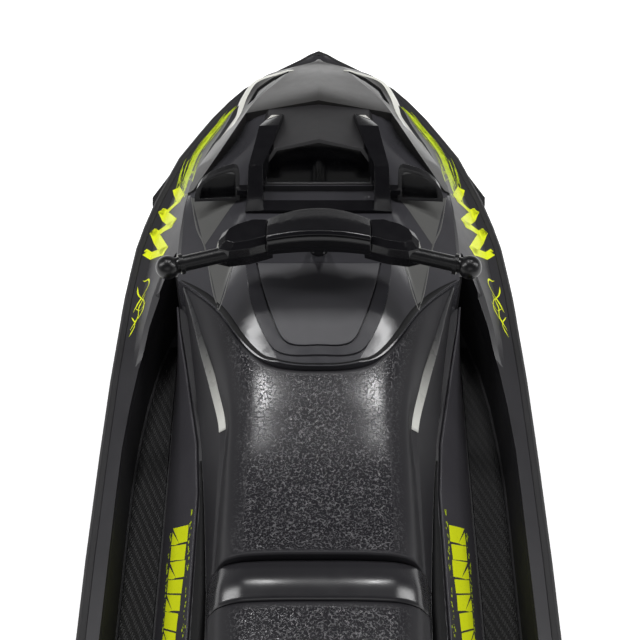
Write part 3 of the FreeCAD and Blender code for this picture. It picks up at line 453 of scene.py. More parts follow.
@dataclass(frozen=True)
class LeatherFinish(Finish):
    """Moulded leather grain whose raised wrinkles fade out where the seat turns smooth, the
    wrinkles painted pale as highlights.
    """

    colour: Point
    wrinkle_highlight: Point
    roughness: float = 0.19
    smooth: float = 0.48
    polish: float = 0.10
    speculars: Pair = (0.24, 0.42)
    cell: float = 2.1 * MM
    depth: float = 0.10 * MM
    bend: float = 2.0 * MM
    sway: float = 1.7 * MM
    stretch: Point = (1.0, 0.9, 0.9)
    layers: Rows = ((1.0, 0.11, 1.0), (1.6, 0.12, 0.6))
    gap: float = 1.5 * MM
    gaps: Pair = (0.50, 0.57)
    patch: float = 11 * MM
    patch_level: float = 0.65
    pore: float = 0.4 * MM
    pore_depth: float = 0.010 * MM

    def wrinkles(self, nodes: Nodes) -> Output:
        """Lay out the broken network of wrinkles.

        Args:
            nodes: The material under construction.

        Returns:
            Their height from 0 to 1, before the grain level is applied.
        """
        warp = nodes.add("ShaderNodeTexNoise")
        nodes.feed(warp.inputs["Vector"], nodes.place)
        nodes.feed(warp.inputs["Scale"], 1.0 / self.bend)
        shift = nodes.add("ShaderNodeVectorMath", operation="MULTIPLY_ADD")
        for socket, value in zip(shift.inputs, (warp.outputs[1], (self.sway,) * 3,
                                                nodes.stretched(self.stretch))):
            nodes.feed(socket, value)
        height = None
        for scale, width, level in self.layers:
            cells = nodes.add("ShaderNodeTexVoronoi", feature="DISTANCE_TO_EDGE")
            nodes.feed(cells.inputs["Vector"], shift.outputs[0])
            nodes.feed(cells.inputs["Scale"], scale / self.cell)
            ridge = nodes.ramp(cells.outputs[0], 0.0, width, 1.0, 0.0)
            broken = nodes.vary(self.gap / scale, 1.0, 0.0, 1.0, self.gaps)
            ridge = nodes.math("MULTIPLY", nodes.math("MULTIPLY", ridge, level), broken)
            height = ridge if height is None else nodes.math("MAXIMUM", height, ridge)
        patches = nodes.vary(self.patch, 2.0, self.patch_level, 1.0, NARROW)
        return nodes.math("MULTIPLY", height, patches)

    def paint(self, nodes: Nodes) -> None:
        """Lay out the colour with its painted highlights on the wrinkles, the gloss and the
        relief of the grain.

        Args:
            nodes: The material under construction.
        """
        grain = nodes.add("ShaderNodeAttribute", attribute_name=GRAIN).outputs["Fac"]
        height = nodes.math("MULTIPLY", self.wrinkles(nodes), grain)
        # The pale wrinkle colour is a painted highlight on the raised wrinkles.
        nodes.shade(Socket.COLOUR, nodes.mix(height, self.colour, self.wrinkle_highlight))
        ground = nodes.ramp(grain, 0.0, 1.0, self.smooth, self.roughness)
        polished = nodes.math("MULTIPLY", height, self.polish)
        nodes.shade(Socket.ROUGHNESS, nodes.math("SUBTRACT", ground, polished))
        nodes.shade(Socket.SPECULAR, nodes.ramp(grain, 0.0, 1.0, *self.speculars))
        pores = nodes.relief(nodes.noise(self.pore), self.pore_depth)
        nodes.shade(Socket.NORMAL, nodes.relief(height, self.depth, pores))


@dataclass(frozen=True)
class TwillFinish(Finish):
    """Rubber mat with the faint stepped diagonals of a carbon twill."""

    dark: Point
    pale: Point
    pitch: float = 1.25 * MM
    depth: float = 0.10 * MM
    turn: float = 20.0
    repeat: float = 4.0
    weft_tint: float = 0.3
    valley: float = 0.2
    roughness: Pair = (0.62, 0.50)
    specular: float = 0.3

    def paint(self, nodes: Nodes) -> None:
        """Lay out the weave.

        Args:
            nodes: The material under construction.
        """
        split = nodes.add("ShaderNodeSeparateXYZ")
        turned = nodes.stretched((1.0 / self.pitch,) * 3, math.radians(self.turn))
        nodes.feed(split.inputs[0], turned)
        across, along = split.outputs[0], split.outputs[1]
        steps = nodes.math("ADD", nodes.math("FLOOR", along), nodes.math("FLOOR", across))
        lane = nodes.math("FLOORED_MODULO", steps, self.repeat)
        warp_up = nodes.math("LESS_THAN", lane, self.repeat / 2)
        weft_up = nodes.math("SUBTRACT", 1.0, warp_up)
        threads = []
        for place, up in ((across, warp_up), (along, weft_up)):
            middle = nodes.math("SUBTRACT", nodes.math("FRACT", place), 0.5)
            arch = nodes.ramp(nodes.math("ABSOLUTE", middle), 0.0, 0.5, 1.0, 0.0)
            threads.append(nodes.math("MULTIPLY", up, arch))
        height = nodes.math("ADD", *threads)
        tint = nodes.math("MULTIPLY", nodes.ramp(height, self.valley, 1.0),
                          nodes.ramp(warp_up, 0.0, 1.0, self.weft_tint, 1.0))
        nodes.shade(Socket.COLOUR, nodes.mix(tint, self.dark, self.pale))
        nodes.shade(Socket.ROUGHNESS, nodes.ramp(warp_up, 0.0, 1.0, *self.roughness))
        nodes.shade(Socket.SPECULAR, self.specular)
        nodes.shade(Socket.NORMAL, nodes.relief(height, self.depth))


@dataclass(frozen=True)
class GlossFinish(Finish):
    """Polished black plate or lens with faint dust."""

    colour: Point
    roughness: float = 0.06
    smear: float = 0.04
    specular: float = 0.5
    dust: float = 0.03
    dust_size: float = 0.7 * MM
    dust_levels: Pair = (0.72, 0.80)
    smear_size: float = 14 * MM
    wave: float = 5 * MM
    wave_depth: float = 0.004 * MM

    def paint(self, nodes: Nodes) -> None:
        """Lay out the dust, the smears and a slight wave.

        Args:
            nodes: The material under construction.
        """
        dust = nodes.vary(self.dust_size, 4.0, 0.0, 1.0, self.dust_levels)
        dusty = tuple(value + self.dust for value in self.colour)
        nodes.shade(Socket.COLOUR, nodes.mix(dust, self.colour, dusty))
        smeared = self.roughness + self.smear
        nodes.shade(Socket.ROUGHNESS, nodes.vary(self.smear_size, 3.0, self.roughness, smeared))
        nodes.shade(Socket.SPECULAR, self.specular)
        nodes.texture(self.wave, self.wave_depth, 1.0)


@dataclass(frozen=True)
class MetalFinish(Finish):
    """Turned or brushed metal."""

    colour: Point
    roughness: float = 0.3
    brush: Point = (1.0, 0.05, 1.0)
    line: float = 0.25 * MM
    line_depth: float = 0.01 * MM
    shadow: float = 0.86
    spread: Pair = (-0.06, 0.08)

    def paint(self, nodes: Nodes) -> None:
        """Lay out the fine lines of the tool.

        Args:
            nodes: The material under construction.
        """
        lines = nodes.noise(self.line, 3.0, nodes.stretched(self.brush))
        dark = tuple(self.shadow * value for value in self.colour)
        nodes.shade(Socket.COLOUR, nodes.mix(lines, dark, self.colour))
        nodes.shade(Socket.METAL, 1.0)
        low, high = [self.roughness + step for step in self.spread]
        nodes.shade(Socket.ROUGHNESS, nodes.ramp(lines, *SPREAD, low, high))
        nodes.shade(Socket.NORMAL, nodes.relief(lines, self.line_depth))


@dataclass(frozen=True)
class PrintFinish(Finish):
    """Printed lime film, a little uneven and worn through in fine specks."""

    colour: Point
    worn: Point
    wear: float = 0.0
    thin: float = 0.90
    ink: float = 12 * MM
    speck: float = 0.9 * MM
    speck_levels: Pair = (0.62, 0.66)
    speck_shift: float = 0.1
    speck_least: float = 0.15
    roughness: Pair = (0.36, 0.44)
    spot: float = 5 * MM
    specular: float = 0.4
    grain_size: float = 0.5 * MM
    grain_depth: float = 0.008 * MM

    def paint(self, nodes: Nodes) -> None:
        """Lay out the uneven ink and the worn specks.

        Args:
            nodes: The material under construction.
        """
        thin = tuple(self.thin * value for value in self.colour)
        tone = nodes.mix(nodes.noise(self.ink), thin, self.colour)
        levels = (self.speck_levels[0] - self.speck_shift * self.wear, self.speck_levels[1])
        worn = min(1.0, self.wear + self.speck_least)
        specks = nodes.vary(self.speck, 3.0, 0.0, worn, levels)
        nodes.shade(Socket.COLOUR, nodes.mix(specks, tone, self.worn))
        nodes.shade(Socket.ROUGHNESS, nodes.vary(self.spot, 2.0, *self.roughness))
        nodes.shade(Socket.SPECULAR, self.specular)
        nodes.texture(self.grain_size, self.grain_depth)


class Look(Enum):
    """All finishes of the craft."""

    HULL = MouldedFinish("HullBlack", (0.012, 0.012, 0.014), 0.30, coat=0.25)
    DECK = MouldedFinish("DeckBlack", (0.020, 0.0193, 0.0225), 0.42)
    WELL = MouldedFinish("WellBlack", (0.020, 0.0195, 0.022), 0.55, 0.35)
    RAIL = MouldedFinish("RailBlack", (0.009, 0.0085, 0.010), 0.55, 0.35)
    HOOD = MouldedFinish("HoodGrey", (0.026, 0.0252, 0.0245), 0.33, mottling=0.03)
    COWL = MouldedFinish("CowlGrey", (0.040, 0.0393, 0.0445), 0.17)
    LID = MouldedFinish("LidGrey", (0.044, 0.0430, 0.049), 0.50, grain_depth=0.02 * MM)
    FRAME = MouldedFinish("FrameBlack", (0.0035, 0.0033, 0.0045), 0.22, 0.45)
    PANEL = MouldedFinish("PanelGrey", (0.050, 0.048, 0.055), 0.42)
    DASH = MouldedFinish("DashGrey", (0.019, 0.0183, 0.0198), 0.42)
    # Paler grey of painted light on two cowl facets, and painted highlights on their creases.
    FACET = MouldedFinish("FacetGrey", (0.088, 0.088, 0.085), 0.34, mottling=0.03)
    # Near black of painted shade, laid along the seat's seam and beside the seat's foot.
    SEAM = MouldedFinish("SeamPaintedShade", (0.003, 0.003, 0.0035), 0.55, 0.2)
    BAND = MouldedFinish("BandGrey", (0.019, 0.0185, 0.021), 0.24)
    # Trim whose pale rear end is a painted reflection.
    TRIM = ReflectionFadeFinish("TrimSilver", (0.030, 0.030, 0.032), (0.64, 0.64, 0.60), 0.592, 0.497)
    # Pale patches on the black struts' front ends: a painted highlight.
    CAP = MouldedFinish("CapGrey", (0.58, 0.57, 0.53), 0.34)
    # Pale strip on the hood's rim: a painted highlight.
    GUIDE = MouldedFinish("LightGuide", (0.80, 0.80, 0.74), 0.30, coat=0.4)
    # The second colour paints highlights on the raised wrinkles.
    SEAT = LeatherFinish("LeatherGrain", (0.0140, 0.0134, 0.0160), (0.155, 0.152, 0.160))
    MAT = TwillFinish("MatTwill", (0.0020, 0.0020, 0.0026), (0.0075, 0.0075, 0.0085))
    GLOSS = GlossFinish("GlossBlack", (0.0008, 0.0008, 0.0012))
    LENS = GlossFinish("LensSmoke", (0.020, 0.020, 0.021), 0.10)
    GRIP = MouldedFinish("GripBlack", (0.0035, 0.0035, 0.0042), 0.30, 0.4, 0.9 * MM, 0.05 * MM)
    JET = MouldedFinish("JetBlack", (0.020, 0.020, 0.022), 0.50)
    STEEL = MetalFinish("EyeSteel", (0.55, 0.55, 0.56), 0.28)
    BRONZE = MetalFinish("ImpellerMetal", (0.50, 0.49, 0.47), 0.32, (1.0, 1.0, 0.1))
    BATTERY = MouldedFinish("BatteryGrey", (0.07, 0.07, 0.08), 0.40)
    LIME = PrintFinish("LimePrint", (0.90, 1.0, 0.014), (0.10, 0.12, 0.01))
    BRUSH = PrintFinish("LimeBrush", (0.64, 0.80, 0.02), (0.05, 0.06, 0.01), 0.4)


@cache
def made(look: Look) -> bpy.types.Material:
    """Material of a finish, built once."""
    return look.value.material()


@dataclass(frozen=True)
class Dressing:
    """Finish and rounded edges of one CAD node, or of a right and left pair.

    The edge is given in millimetres, and the angle is the smallest between two faces, in
    degrees, at which their edge is rounded.
    """

    node: str
    look: Look
    edge: float
    segments: int = 2
    angle: float = 14.0
    weld: float = 0.002 * MM

    def build(self) -> None:
        """Put the finish on and round the edges."""
        single = self.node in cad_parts
        for name in [self.node] if single else [side.of(self.node) for side in Side]:
            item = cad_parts[name]
            item.data.materials.clear()
            item.data.materials.append(made(self.look))
            item.modifiers.new("Joined", "WELD").merge_threshold = self.weld
            bevel = item.modifiers.new("Edge", "BEVEL")
            bevel.width = self.edge * MM
            bevel.segments = self.segments
            bevel.limit_method = "ANGLE"
            bevel.angle_limit = math.radians(self.angle)
            bevel.use_clamp_overlap = True
            bevel.loop_slide = False
            item.modifiers.new("Shade", "WEIGHTED_NORMAL").keep_sharp = False
            LOG.info("dressed %s with %s", name, self.look.value.name)


class Surface:
    """Upper side of some CAD nodes, found by rays cast down on them."""

    above: float = 0.3
    inside: float = 0.06

    def __init__(self, *nodes: str) -> None:
        """Collect the faces of the nodes.

        Args:
            *nodes: Names of the nodes.
        """
        corners: list[Point] = []
        faces: list[tuple[int, ...]] = []
        for node in nodes:
            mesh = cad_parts[node].data
            first = len(corners)
            corners.extend(tuple(vertex.co) for vertex in mesh.vertices)
            faces.extend(tuple(first + i for i in face.vertices) for face in mesh.polygons)
        self.tree = BVHTree.FromPolygons(corners, faces)

    def drop(self, x: float, y: float, lift: float) -> Point:
        """Point on the surface under a place in plan, or the nearest where it has none.

        Args:
            x: Place across, in metres.
            y: Place along, in metres.
            lift: Height above the surface, along its normal.

        Returns:
            The lifted point.
        """
        down = Vector((0.0, 0.0, -1.0))
        place, normal, _, _ = self.tree.ray_cast(Vector((x, y, self.above)), down)
        if place is None:
            place, normal, _, _ = self.tree.find_nearest(Vector((x, y, self.inside)))
        if normal.z < 0:
            normal = -normal
        return tuple(place + normal * lift)


@dataclass
class Piece:
    """A new mesh of the scene and what it stands on."""

    name: str
    body: str
    slot: str
    look: Look
    corners: list[Point] = field(default_factory=list)
    faces: list[tuple[int, ...]] = field(default_factory=list)

    def grid(self, rows: list[list[Point]]) -> None:
        """Add a sheet of four-sided faces through rows of points.

        Args:
            rows: Rows with the same number of points each.
        """
        first, count = len(self.corners), len(rows[0])
        for row in rows:
            self.corners.extend(tuple(point) for point in row)
        for low in range(first, first + (len(rows) - 1) * count, count):
            for j in range(low, low + count - 1):
                self.faces.append((j, j + 1, j + 1 + count, j + count))

    def tube(self, rows: list[list[Point]]) -> None:
        """Add a sheet through rows of points and close both of its ends.

        Args:
            rows: Rows with the same number of points each.
        """
        first, count = len(self.corners), len(rows[0])
        self.grid(rows)
        last = len(self.corners)
        self.faces.append(tuple(range(first, first + count))[::-1])
        self.faces.append(tuple(range(last - count, last)))

    def patch(self, ground: Surface, corners: Rows, side: Side, lift: float,
              cells: int = 8) -> None:
        """Add one four-sided sheet that lies on a surface.

        Args:
            ground: The surface below.
            corners: Four places as x in millimetres and share of the length.
            side: The side of the craft.
            lift: Height above the surface.
            cells: Number of faces along each side.
        """
        a, b, c, d = plan(corners)
        rows = []
        for i in range(cells + 1):
            start, end = a.lerp(d, i / cells), b.lerp(c, i / cells)
            spots = [start.lerp(end, j / cells) for j in range(cells + 1)]
            rows.append([ground.drop(side.value * spot.x, spot.y, lift) for spot in spots])
        self.grid(rows)

    def drape(self, ground: Surface, path: list[Vector], widths: list[float],
              section: list[Pair], side: Side) -> None:
        """Add a strip along a path, whose cross-section lies on a surface.

        Args:
            ground: The surface below.
            path: Points of its middle line in plan, in metres.
            widths: Breadth at each point.
            section: Points across it, as share of the breadth and height in metres.
            side: The side of the craft.
        """
        rows = []
        for i, (place, width) in enumerate(zip(path, widths)):
            slope = (path[min(i + 1, len(path) - 1)] - path[max(i - 1, 0)]).normalized()
            normal = Vector((slope.y, -slope.x))
            spots = [(place + normal * part * width, lift) for part, lift in section]
            rows.append([ground.drop(side.value * spot.x, spot.y, lift) for spot, lift in spots])
        self.grid(rows)

    def bead(self, ground: Surface, knots: list[Vector], widths: list[float], lift: float,
             side: Side, cuts: int = 10) -> None:
        """Add a low rounded bead along a curve on a surface.

        Args:
            ground: The surface below.
            knots: Points of the curve in plan, in metres.
            widths: Breadth at each knot.
            lift: Height of the bead.
            side: The side of the craft.
            cuts: Number of steps from knot to knot.
        """
        path, breadths = [], []
        for i in range(cuts * (len(knots) - 1) + 1):
            at = i / cuts
            k = min(int(at), len(knots) - 2)
            path.append(curve_point(knots, at))
            breadths.append(widths[k] + (widths[k + 1] - widths[k]) * (at - k))
        half = ((0.5, -0.2), (0.47, 0.5), (0.3, 0.9))
        profile = [(-part, rise) for part, rise in half] + [(0.0, 1.0)] + list(half[::-1])
        self.drape(ground, path, breadths, [(part, rise * lift) for part, rise in profile], side)

    def build(self) -> bpy.types.Object:
        """Make the object and let it ride on its body.

        Returns:
            The finished object.
        """
        mesh = bpy.data.meshes.new(self.name)
        mesh.from_pydata(self.corners, [], self.faces)
        mesh.materials.append(made(self.look))
        mesh.polygons.foreach_set("use_smooth", [True] * len(mesh.polygons))
        mesh.update()
        item = bpy.data.objects.new(self.name, mesh)
        bpy.context.scene.collection.objects.link(item)
        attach(item, self.body)
        LOG.info("built %s with %d faces", self.name, len(mesh.polygons))
        return item


@dataclass(frozen=True)
class Lamp:
    """A soft rectangular lamp with its aim, in metres and watts."""

    name: str
    place: Point
    aim: Point
    size: Pair
    watts: float

    def on(self, side: Side) -> "Lamp":
        """The same lamp, named and placed for one side."""
        x, y, z = self.place
        return replace(self, name=self.name + side.name.title(), place=(side.value * x, y, z))

    def build(self) -> None:
        """Place the lamp and turn it to its aim."""
        data = bpy.data.lights.new(self.name, "AREA")
        data.shape = "RECTANGLE"
        data.size, data.size_y = self.size
        data.energy = self.watts
        item = bpy.data.objects.new(self.name, data)
        item.location = self.place
        look = Vector(self.aim) - Vector(self.place)
        item.rotation_euler = look.to_track_quat("-Z", "Y").to_euler()
        bpy.context.scene.collection.objects.link(item)


@dataclass
class Studio:
    """Pale floor, soft lamps and the camera at the photograph's viewpoint."""

    eye: Point = (0.0, -0.37313, 0.59932)
    pitch: float = 50.0
    lens: float = 70.7
    sensor: float = 36.0
    shift: float = 0.002
    nearest: float = 0.01
    horizon: float = 0.26
    overhead: float = 0.03
    haze: Pair = (0.30, 0.66)
    reach: float = 6.0
    floor_grey: float = 0.90
    floor_roughness: float = 0.9
    floor_specular: float = 0.1
    floor_glow: float = 0.55
    bay: tuple[Pair, Pair] = ((-0.060, -0.235), (0.060, 0.060))
    stern_lamp: Lamp = Lamp("SternBox", (0.0, -1.30, 1.05), (0.0, 0.0, 0.06), (1.2, 0.6), 2.6)
    side_lamps: tuple[Lamp, ...] = (
        Lamp("OverheadBox", (0.275, 0.45, 1.37), (0.0, 0.0, 0.08), (0.045, 0.26), 4.4),
        Lamp("SidePanel", (1.10, 0.05, 1.00), (0.0, 0.0, 0.05), (0.2, 1.0), 9.3),
    )

    def camera(self) -> None:
        """Place the camera."""
        data = bpy.data.cameras.new("PhotoCamera")
        data.lens = self.lens
        data.sensor_width = self.sensor
        data.shift_x = self.shift
        data.clip_start = self.nearest
        item = bpy.data.objects.new("PhotoCamera", data)
        item.location = self.eye
        item.rotation_euler = (math.radians(90 - self.pitch), 0.0, 0.0)
        bpy.context.scene.collection.objects.link(item)
        bpy.context.scene.camera = item

    def floor(self) -> None:
        """Lay a pale floor at the waterline that looks white and keeps the shadow.

        It is open under the battery bay, which reaches below the waterline.
        """
        mesh = bpy.data.meshes.new("Floor")
        rings = ((-self.reach, -self.reach, self.reach, self.reach), (*self.bay[0], *self.bay[1]))
        corners = []
        for left, stern, right, bow in rings:
            spots = ((left, stern), (right, stern), (right, bow), (left, bow))
            corners += [(x, y, 0.0) for x, y in spots]
        faces = [(i, (i + 1) % 4, (i + 1) % 4 + 4, i + 4) for i in range(4)]
        mesh.from_pydata(corners, [], faces)
        nodes = Nodes("FloorPale")
        nodes.shade(Socket.COLOUR, (self.floor_grey,) * 3)
        nodes.shade(Socket.ROUGHNESS, self.floor_roughness)
        nodes.shade(Socket.SPECULAR, self.floor_specular)
        path = nodes.add("ShaderNodeLightPath")
        seen = nodes.math("MAXIMUM", path.outputs["Is Camera Ray"], path.outputs["Is Glossy Ray"])
        seen = nodes.math("MAXIMUM", seen, path.outputs["Is Transmission Ray"])
        nodes.feed(nodes.shader.inputs["Emission Color"], (1.0, 1.0, 1.0))
        nodes.feed(nodes.shader.inputs["Emission Strength"],
                   nodes.math("MULTIPLY", seen, self.floor_glow))
        mesh.materials.append(nodes.material)
        item = bpy.data.objects.new("Floor", mesh)
        bpy.context.scene.collection.objects.link(item)

    def sky(self) -> None:
        """Light the surroundings: bright at the horizon, dim overhead, white to the camera."""
        world = bpy.data.worlds.new("Surroundings")
        bpy.context.scene.world = world
        world.use_nodes = True
        tree = world.node_tree
        ground = tree.nodes["Background"]
        ground.inputs["Color"].default_value = (1.0, 1.0, 1.0, 1.0)
        place = tree.nodes.new("ShaderNodeTexCoord")
        split = tree.nodes.new("ShaderNodeSeparateXYZ")
        tree.links.new(place.outputs["Generated"], split.inputs[0])
        ramp = tree.nodes.new("ShaderNodeMapRange")
        ramp.interpolation_type = "SMOOTHSTEP"
        for socket, value in zip(ramp.inputs[1:5], (*self.haze, self.horizon, self.overhead)):
            socket.default_value = value
        tree.links.new(split.outputs[2], ramp.inputs[0])
        path = tree.nodes.new("ShaderNodeLightPath")
        white = tree.nodes.new("ShaderNodeMath")
        white.operation = "MAXIMUM"
        tree.links.new(ramp.outputs[0], white.inputs[0])
        tree.links.new(path.outputs["Is Camera Ray"], white.inputs[1])
        tree.links.new(white.outputs[0], ground.inputs["Strength"])

    def build(self) -> None:
        """Set up the whole studio."""
        self.camera()
        self.floor()
        self.sky()
        self.stern_lamp.build()
        for side in Side:
            for lamp in self.side_lamps:
                lamp.on(side).build()
        bpy.context.scene.view_settings.view_transform = "Standard"


@dataclass
class Assembly:
    """A part of the craft, with the CAD nodes that it dresses."""

    dressed: tuple[Dressing, ...] = ()

    def build(self) -> None:
        """Dress the nodes."""
        for item in self.dressed:
            item.build()


@dataclass
class Mouldings(Assembly):
    """Hull, deck, rail and the fixed trim."""

    dressed: tuple[Dressing, ...] = (
        Dressing("hull", Look.HULL, 0.5),
        Dressing("deck", Look.DECK, 0.5),
        Dressing("bumper", Look.RAIL, 0.5),
        Dressing("stern_mat", Look.MAT, 0.3),
        Dressing("ride_plate", Look.JET, 0.3),
        Dressing("intake_grate", Look.JET, 0.2),
        Dressing("footwell_tray", Look.WELL, 0.3),
        Dressing("footwell_mat", Look.MAT, 0.3),
        Dressing("side_panel", Look.PANEL, 0.3),
        Dressing("spray_deflector", Look.RAIL, 0.4),
        Dressing("sponson", Look.RAIL, 0.5),
        Dressing("stern_eye", Look.STEEL, 0.3),
        Dressing("bow_eye", Look.STEEL, 0.3),
        Dressing("battery", Look.BATTERY, 0.6),
        Dressing("motor", Look.BRONZE, 0.6),
    )


@dataclass
class Front(Assembly):
    """Hood, lamps, cowl, dash, display frame and lid."""

    dressed: tuple[Dressing, ...] = (
        Dressing("hood", Look.HOOD, 0.6, angle=10),
        Dressing("cowl", Look.COWL, 0.6, angle=10),
        Dressing("dash_panel", Look.DASH, 0.5),
        Dressing("dash_display", Look.GLOSS, 0.2),
        Dressing("console_frame", Look.FRAME, 0.5),
        Dressing("console_lid", Look.LID, 0.4),
        Dressing("headlamp", Look.LENS, 0.3),
        Dressing("mirror", Look.FRAME, 0.4),
        Dressing("mirror_glass", Look.GLOSS, 0.2),
    )
    half: float = 63.048 * MM
    base: float = 56.0 * MM
    rise: float = 60.0 * MM
    rim_drop: float = 2.2 * MM
    rim_rows: Rows = (
        (0.831, 1.000, 0.420), (0.860, 0.930, 0.333), (0.890, 0.845, 0.275),
        (0.920, 0.775, 0.281), (0.944, 0.630, 0.314), (0.958, 0.330, 0.333),
    )
    guide_stretch: Pair = (0.838, 0.9425)
    guide_steps: int = 64
    guide_roof: Rows = ((0.915, 0.05, -0.4), (0.930, 0.55, 0.0))
    guide_ridge: Pair = (0.955, 0.60)
    guide_lip: Rows = (
        (-0.2, 0.75), (0.7, 0.2), (1.0, -0.7), (0.9, -2.4), (-0.4, -2.8),
    )
    guide_end: Rows = (
        (44.6, 0.9310), (41.6, 0.9374), (38.4, 0.9406), (34.0, 0.9416), (28.2, 0.9402),
        (22.0, 0.9378), (16.0, 0.9348),
    )
    guide_breadths: Row = (2.6, 2.6, 2.6, 2.6, 2.6, 2.0, 0.3)
    guide_height: float = 0.75 * MM
    facet_corners: tuple[Rows, ...] = (
        ((73.2, 0.7400), (46.0, 0.7170), (63.6, 0.6755), (63.7, 0.6756)),
        ((62.6, 0.6700), (47.6, 0.6560), (46.9, 0.6370), (53.2, 0.5990)),
    )
    facet_lift: float = 0.12 * MM
    facet_cells: int = 14
    crease_lines: tuple[Rows, ...] = (
        ((73.4, 0.7410), (68.6, 0.6995), (63.4, 0.6752), (56.6, 0.6190), (53.0, 0.5980)),
        ((46.4, 0.6390), (49.2, 0.6150), (52.8, 0.5984)),
    )
    crease_breadth: float = 0.8 * MM
    crease_height: float = 0.28 * MM
    strut_cap: Rows = (
        (27.6, 0.8157), (20.5, 0.8157), (21.0, 0.8034), (30.0, 0.8034),
    )
    cap_lift: float = 0.25 * MM
    gasket_reach: float = 0.965
    gasket_steps: int = 120
    gasket_gap: float = 0.7 * MM
    gasket_breadth: Pair = (0.9, 1.5)
    gasket_widening: Pair = (0.25, 0.3)
    gasket_taper: float = 0.25
    gasket_section: Rows = (
        (0.0, 0.05), (0.15, 0.22), (0.5, 0.25), (0.85, 0.22), (1.0, 0.0),
    )

    def guide(self, side: Side) -> None:
        """Build the pale strip that caps the rim of the hood outside one headlamp, a painted
        highlight along the rim's edge.

        Args:
            side: The side of the craft.
        """
        hood = Surface("hood")
        rows = []
        for share in shares(self.guide_stretch, self.guide_steps):
            rim, level = smooth_row(self.rim_rows, share)
            y, out, top = station(share), rim * self.half, self.base + level * self.rise
            edge = top - self.rim_drop * rim
            row = []
            for part, lift, sink in self.guide_roof:
                spot = hood.drop(side.value * out * part, y, lift * MM)
                row.append((spot[0], y, spot[2] + sink * MM))
            part, lift = self.guide_ridge
            row.append((side.value * out * part, y, top + lift * MM))
            row += [(side.value * (out + x * MM), y, edge + z * MM) for x, z in self.guide_lip]
            rows.append(row)
        piece = Piece(side.of("light_guide"), "hull_body", "lamp_black", Look.GUIDE)
        piece.tube(rows)
        breadths = [width * MM for width in self.guide_breadths]
        piece.bead(hood, plan(self.guide_end), breadths, self.guide_height, side)
        piece.build()

    def facets(self, side: Side) -> None:
        """Lay the two paler facets of the cowl, whose paleness is painted light, and the creases
        that run beside them, painted pale as highlights.

        Args:
            side: The side of the craft.
        """
        cowl = Surface("cowl")
        piece = Piece(side.of("cowl_facets"), "hull_body", "cowl_grey", Look.FACET)
        for corners in self.facet_corners:
            piece.patch(cowl, corners, side, self.facet_lift, self.facet_cells)
        piece.build()
        crease = Piece(side.of("cowl_crease_highlight"), "hull_body", "cowl_grey", Look.FACET)
        for line in self.crease_lines:
            breadths = [self.crease_breadth] * len(line)
            crease.bead(cowl, plan(line), breadths, self.crease_height, side)
        crease.build()

    def caps(self) -> None:
        """Lay the pale caps on the sloped front ends of the two struts, their paleness a painted
        highlight on those faces.
        """
        ground = Surface("console_frame")
        for side in Side:
            piece = Piece(side.of("strut_cap"), "hull_body", "frame_black", Look.CAP)
            piece.patch(ground, self.strut_cap, side, self.cap_lift)
            piece.build()

    def gasket(self) -> None:
        """Lay a dark strip on the cowl along its seam with the seat, painted shade that widens
        the shadow of the gap.
        """
        cowl = Surface("cowl")
        step = 0.01
        narrow, wider = self.gasket_breadth
        begin, ease = self.gasket_widening
        rows = []
        for i in range(self.gasket_steps + 1):
            across = self.gasket_reach * (2 * i / self.gasket_steps - 1)
            away = abs(across)
            share = smooth_row(SEAM, away)[0]
            ahead = smooth_row(SEAM, min(1.0, away + step))[0]
            slope = Vector((step * SEAM_HALF, station(ahead) - station(share))).normalized()
            normal = Vector((-slope.y * (1 if across > 0 else -1), slope.x))
            width = (narrow + wider * held((away - begin) / ease)) * MM
            width *= min(1.0, self.gasket_taper + (self.gasket_reach - away) / self.gasket_taper)
            start = Vector((across * SEAM_HALF, station(share) + self.gasket_gap))
            rows.append([cowl.drop(*(start + normal * width * part), lift * MM)
                         for part, lift in self.gasket_section])
        piece = Piece("seam_shade_strip", "hull_body", "frame_black", Look.SEAM)
        piece.grid(rows)
        piece.build()

    def build(self) -> None:
        """Dress the front pieces and add the guides, facets and caps, pale with painted
        highlights and painted light, and the gasket, dark with painted shade.
        """
        super().build()
        for add in (self.guide, self.facets):
            for side in Side:
                add(side)
        self.caps()
        self.gasket()


@dataclass
class Handlebar(Assembly):
    """Column, pad, pods and grips."""

    dressed: tuple[Dressing, ...] = (
        Dressing("steering_column", Look.FRAME, 0.3),
        Dressing("handlebar_pad", Look.FRAME, 0.6, 3),
        Dressing("control_pod", Look.FRAME, 0.6, 3),
        Dressing("handlebar_grip", Look.GRIP, 0.3),
    )


class Pads(Enum):
    """Cushions of the seat and the CAD nodes they stand for."""

    FRONT = "seat_front"
    BOLSTER = "seat_bolster"
    REAR = "seat_rear"


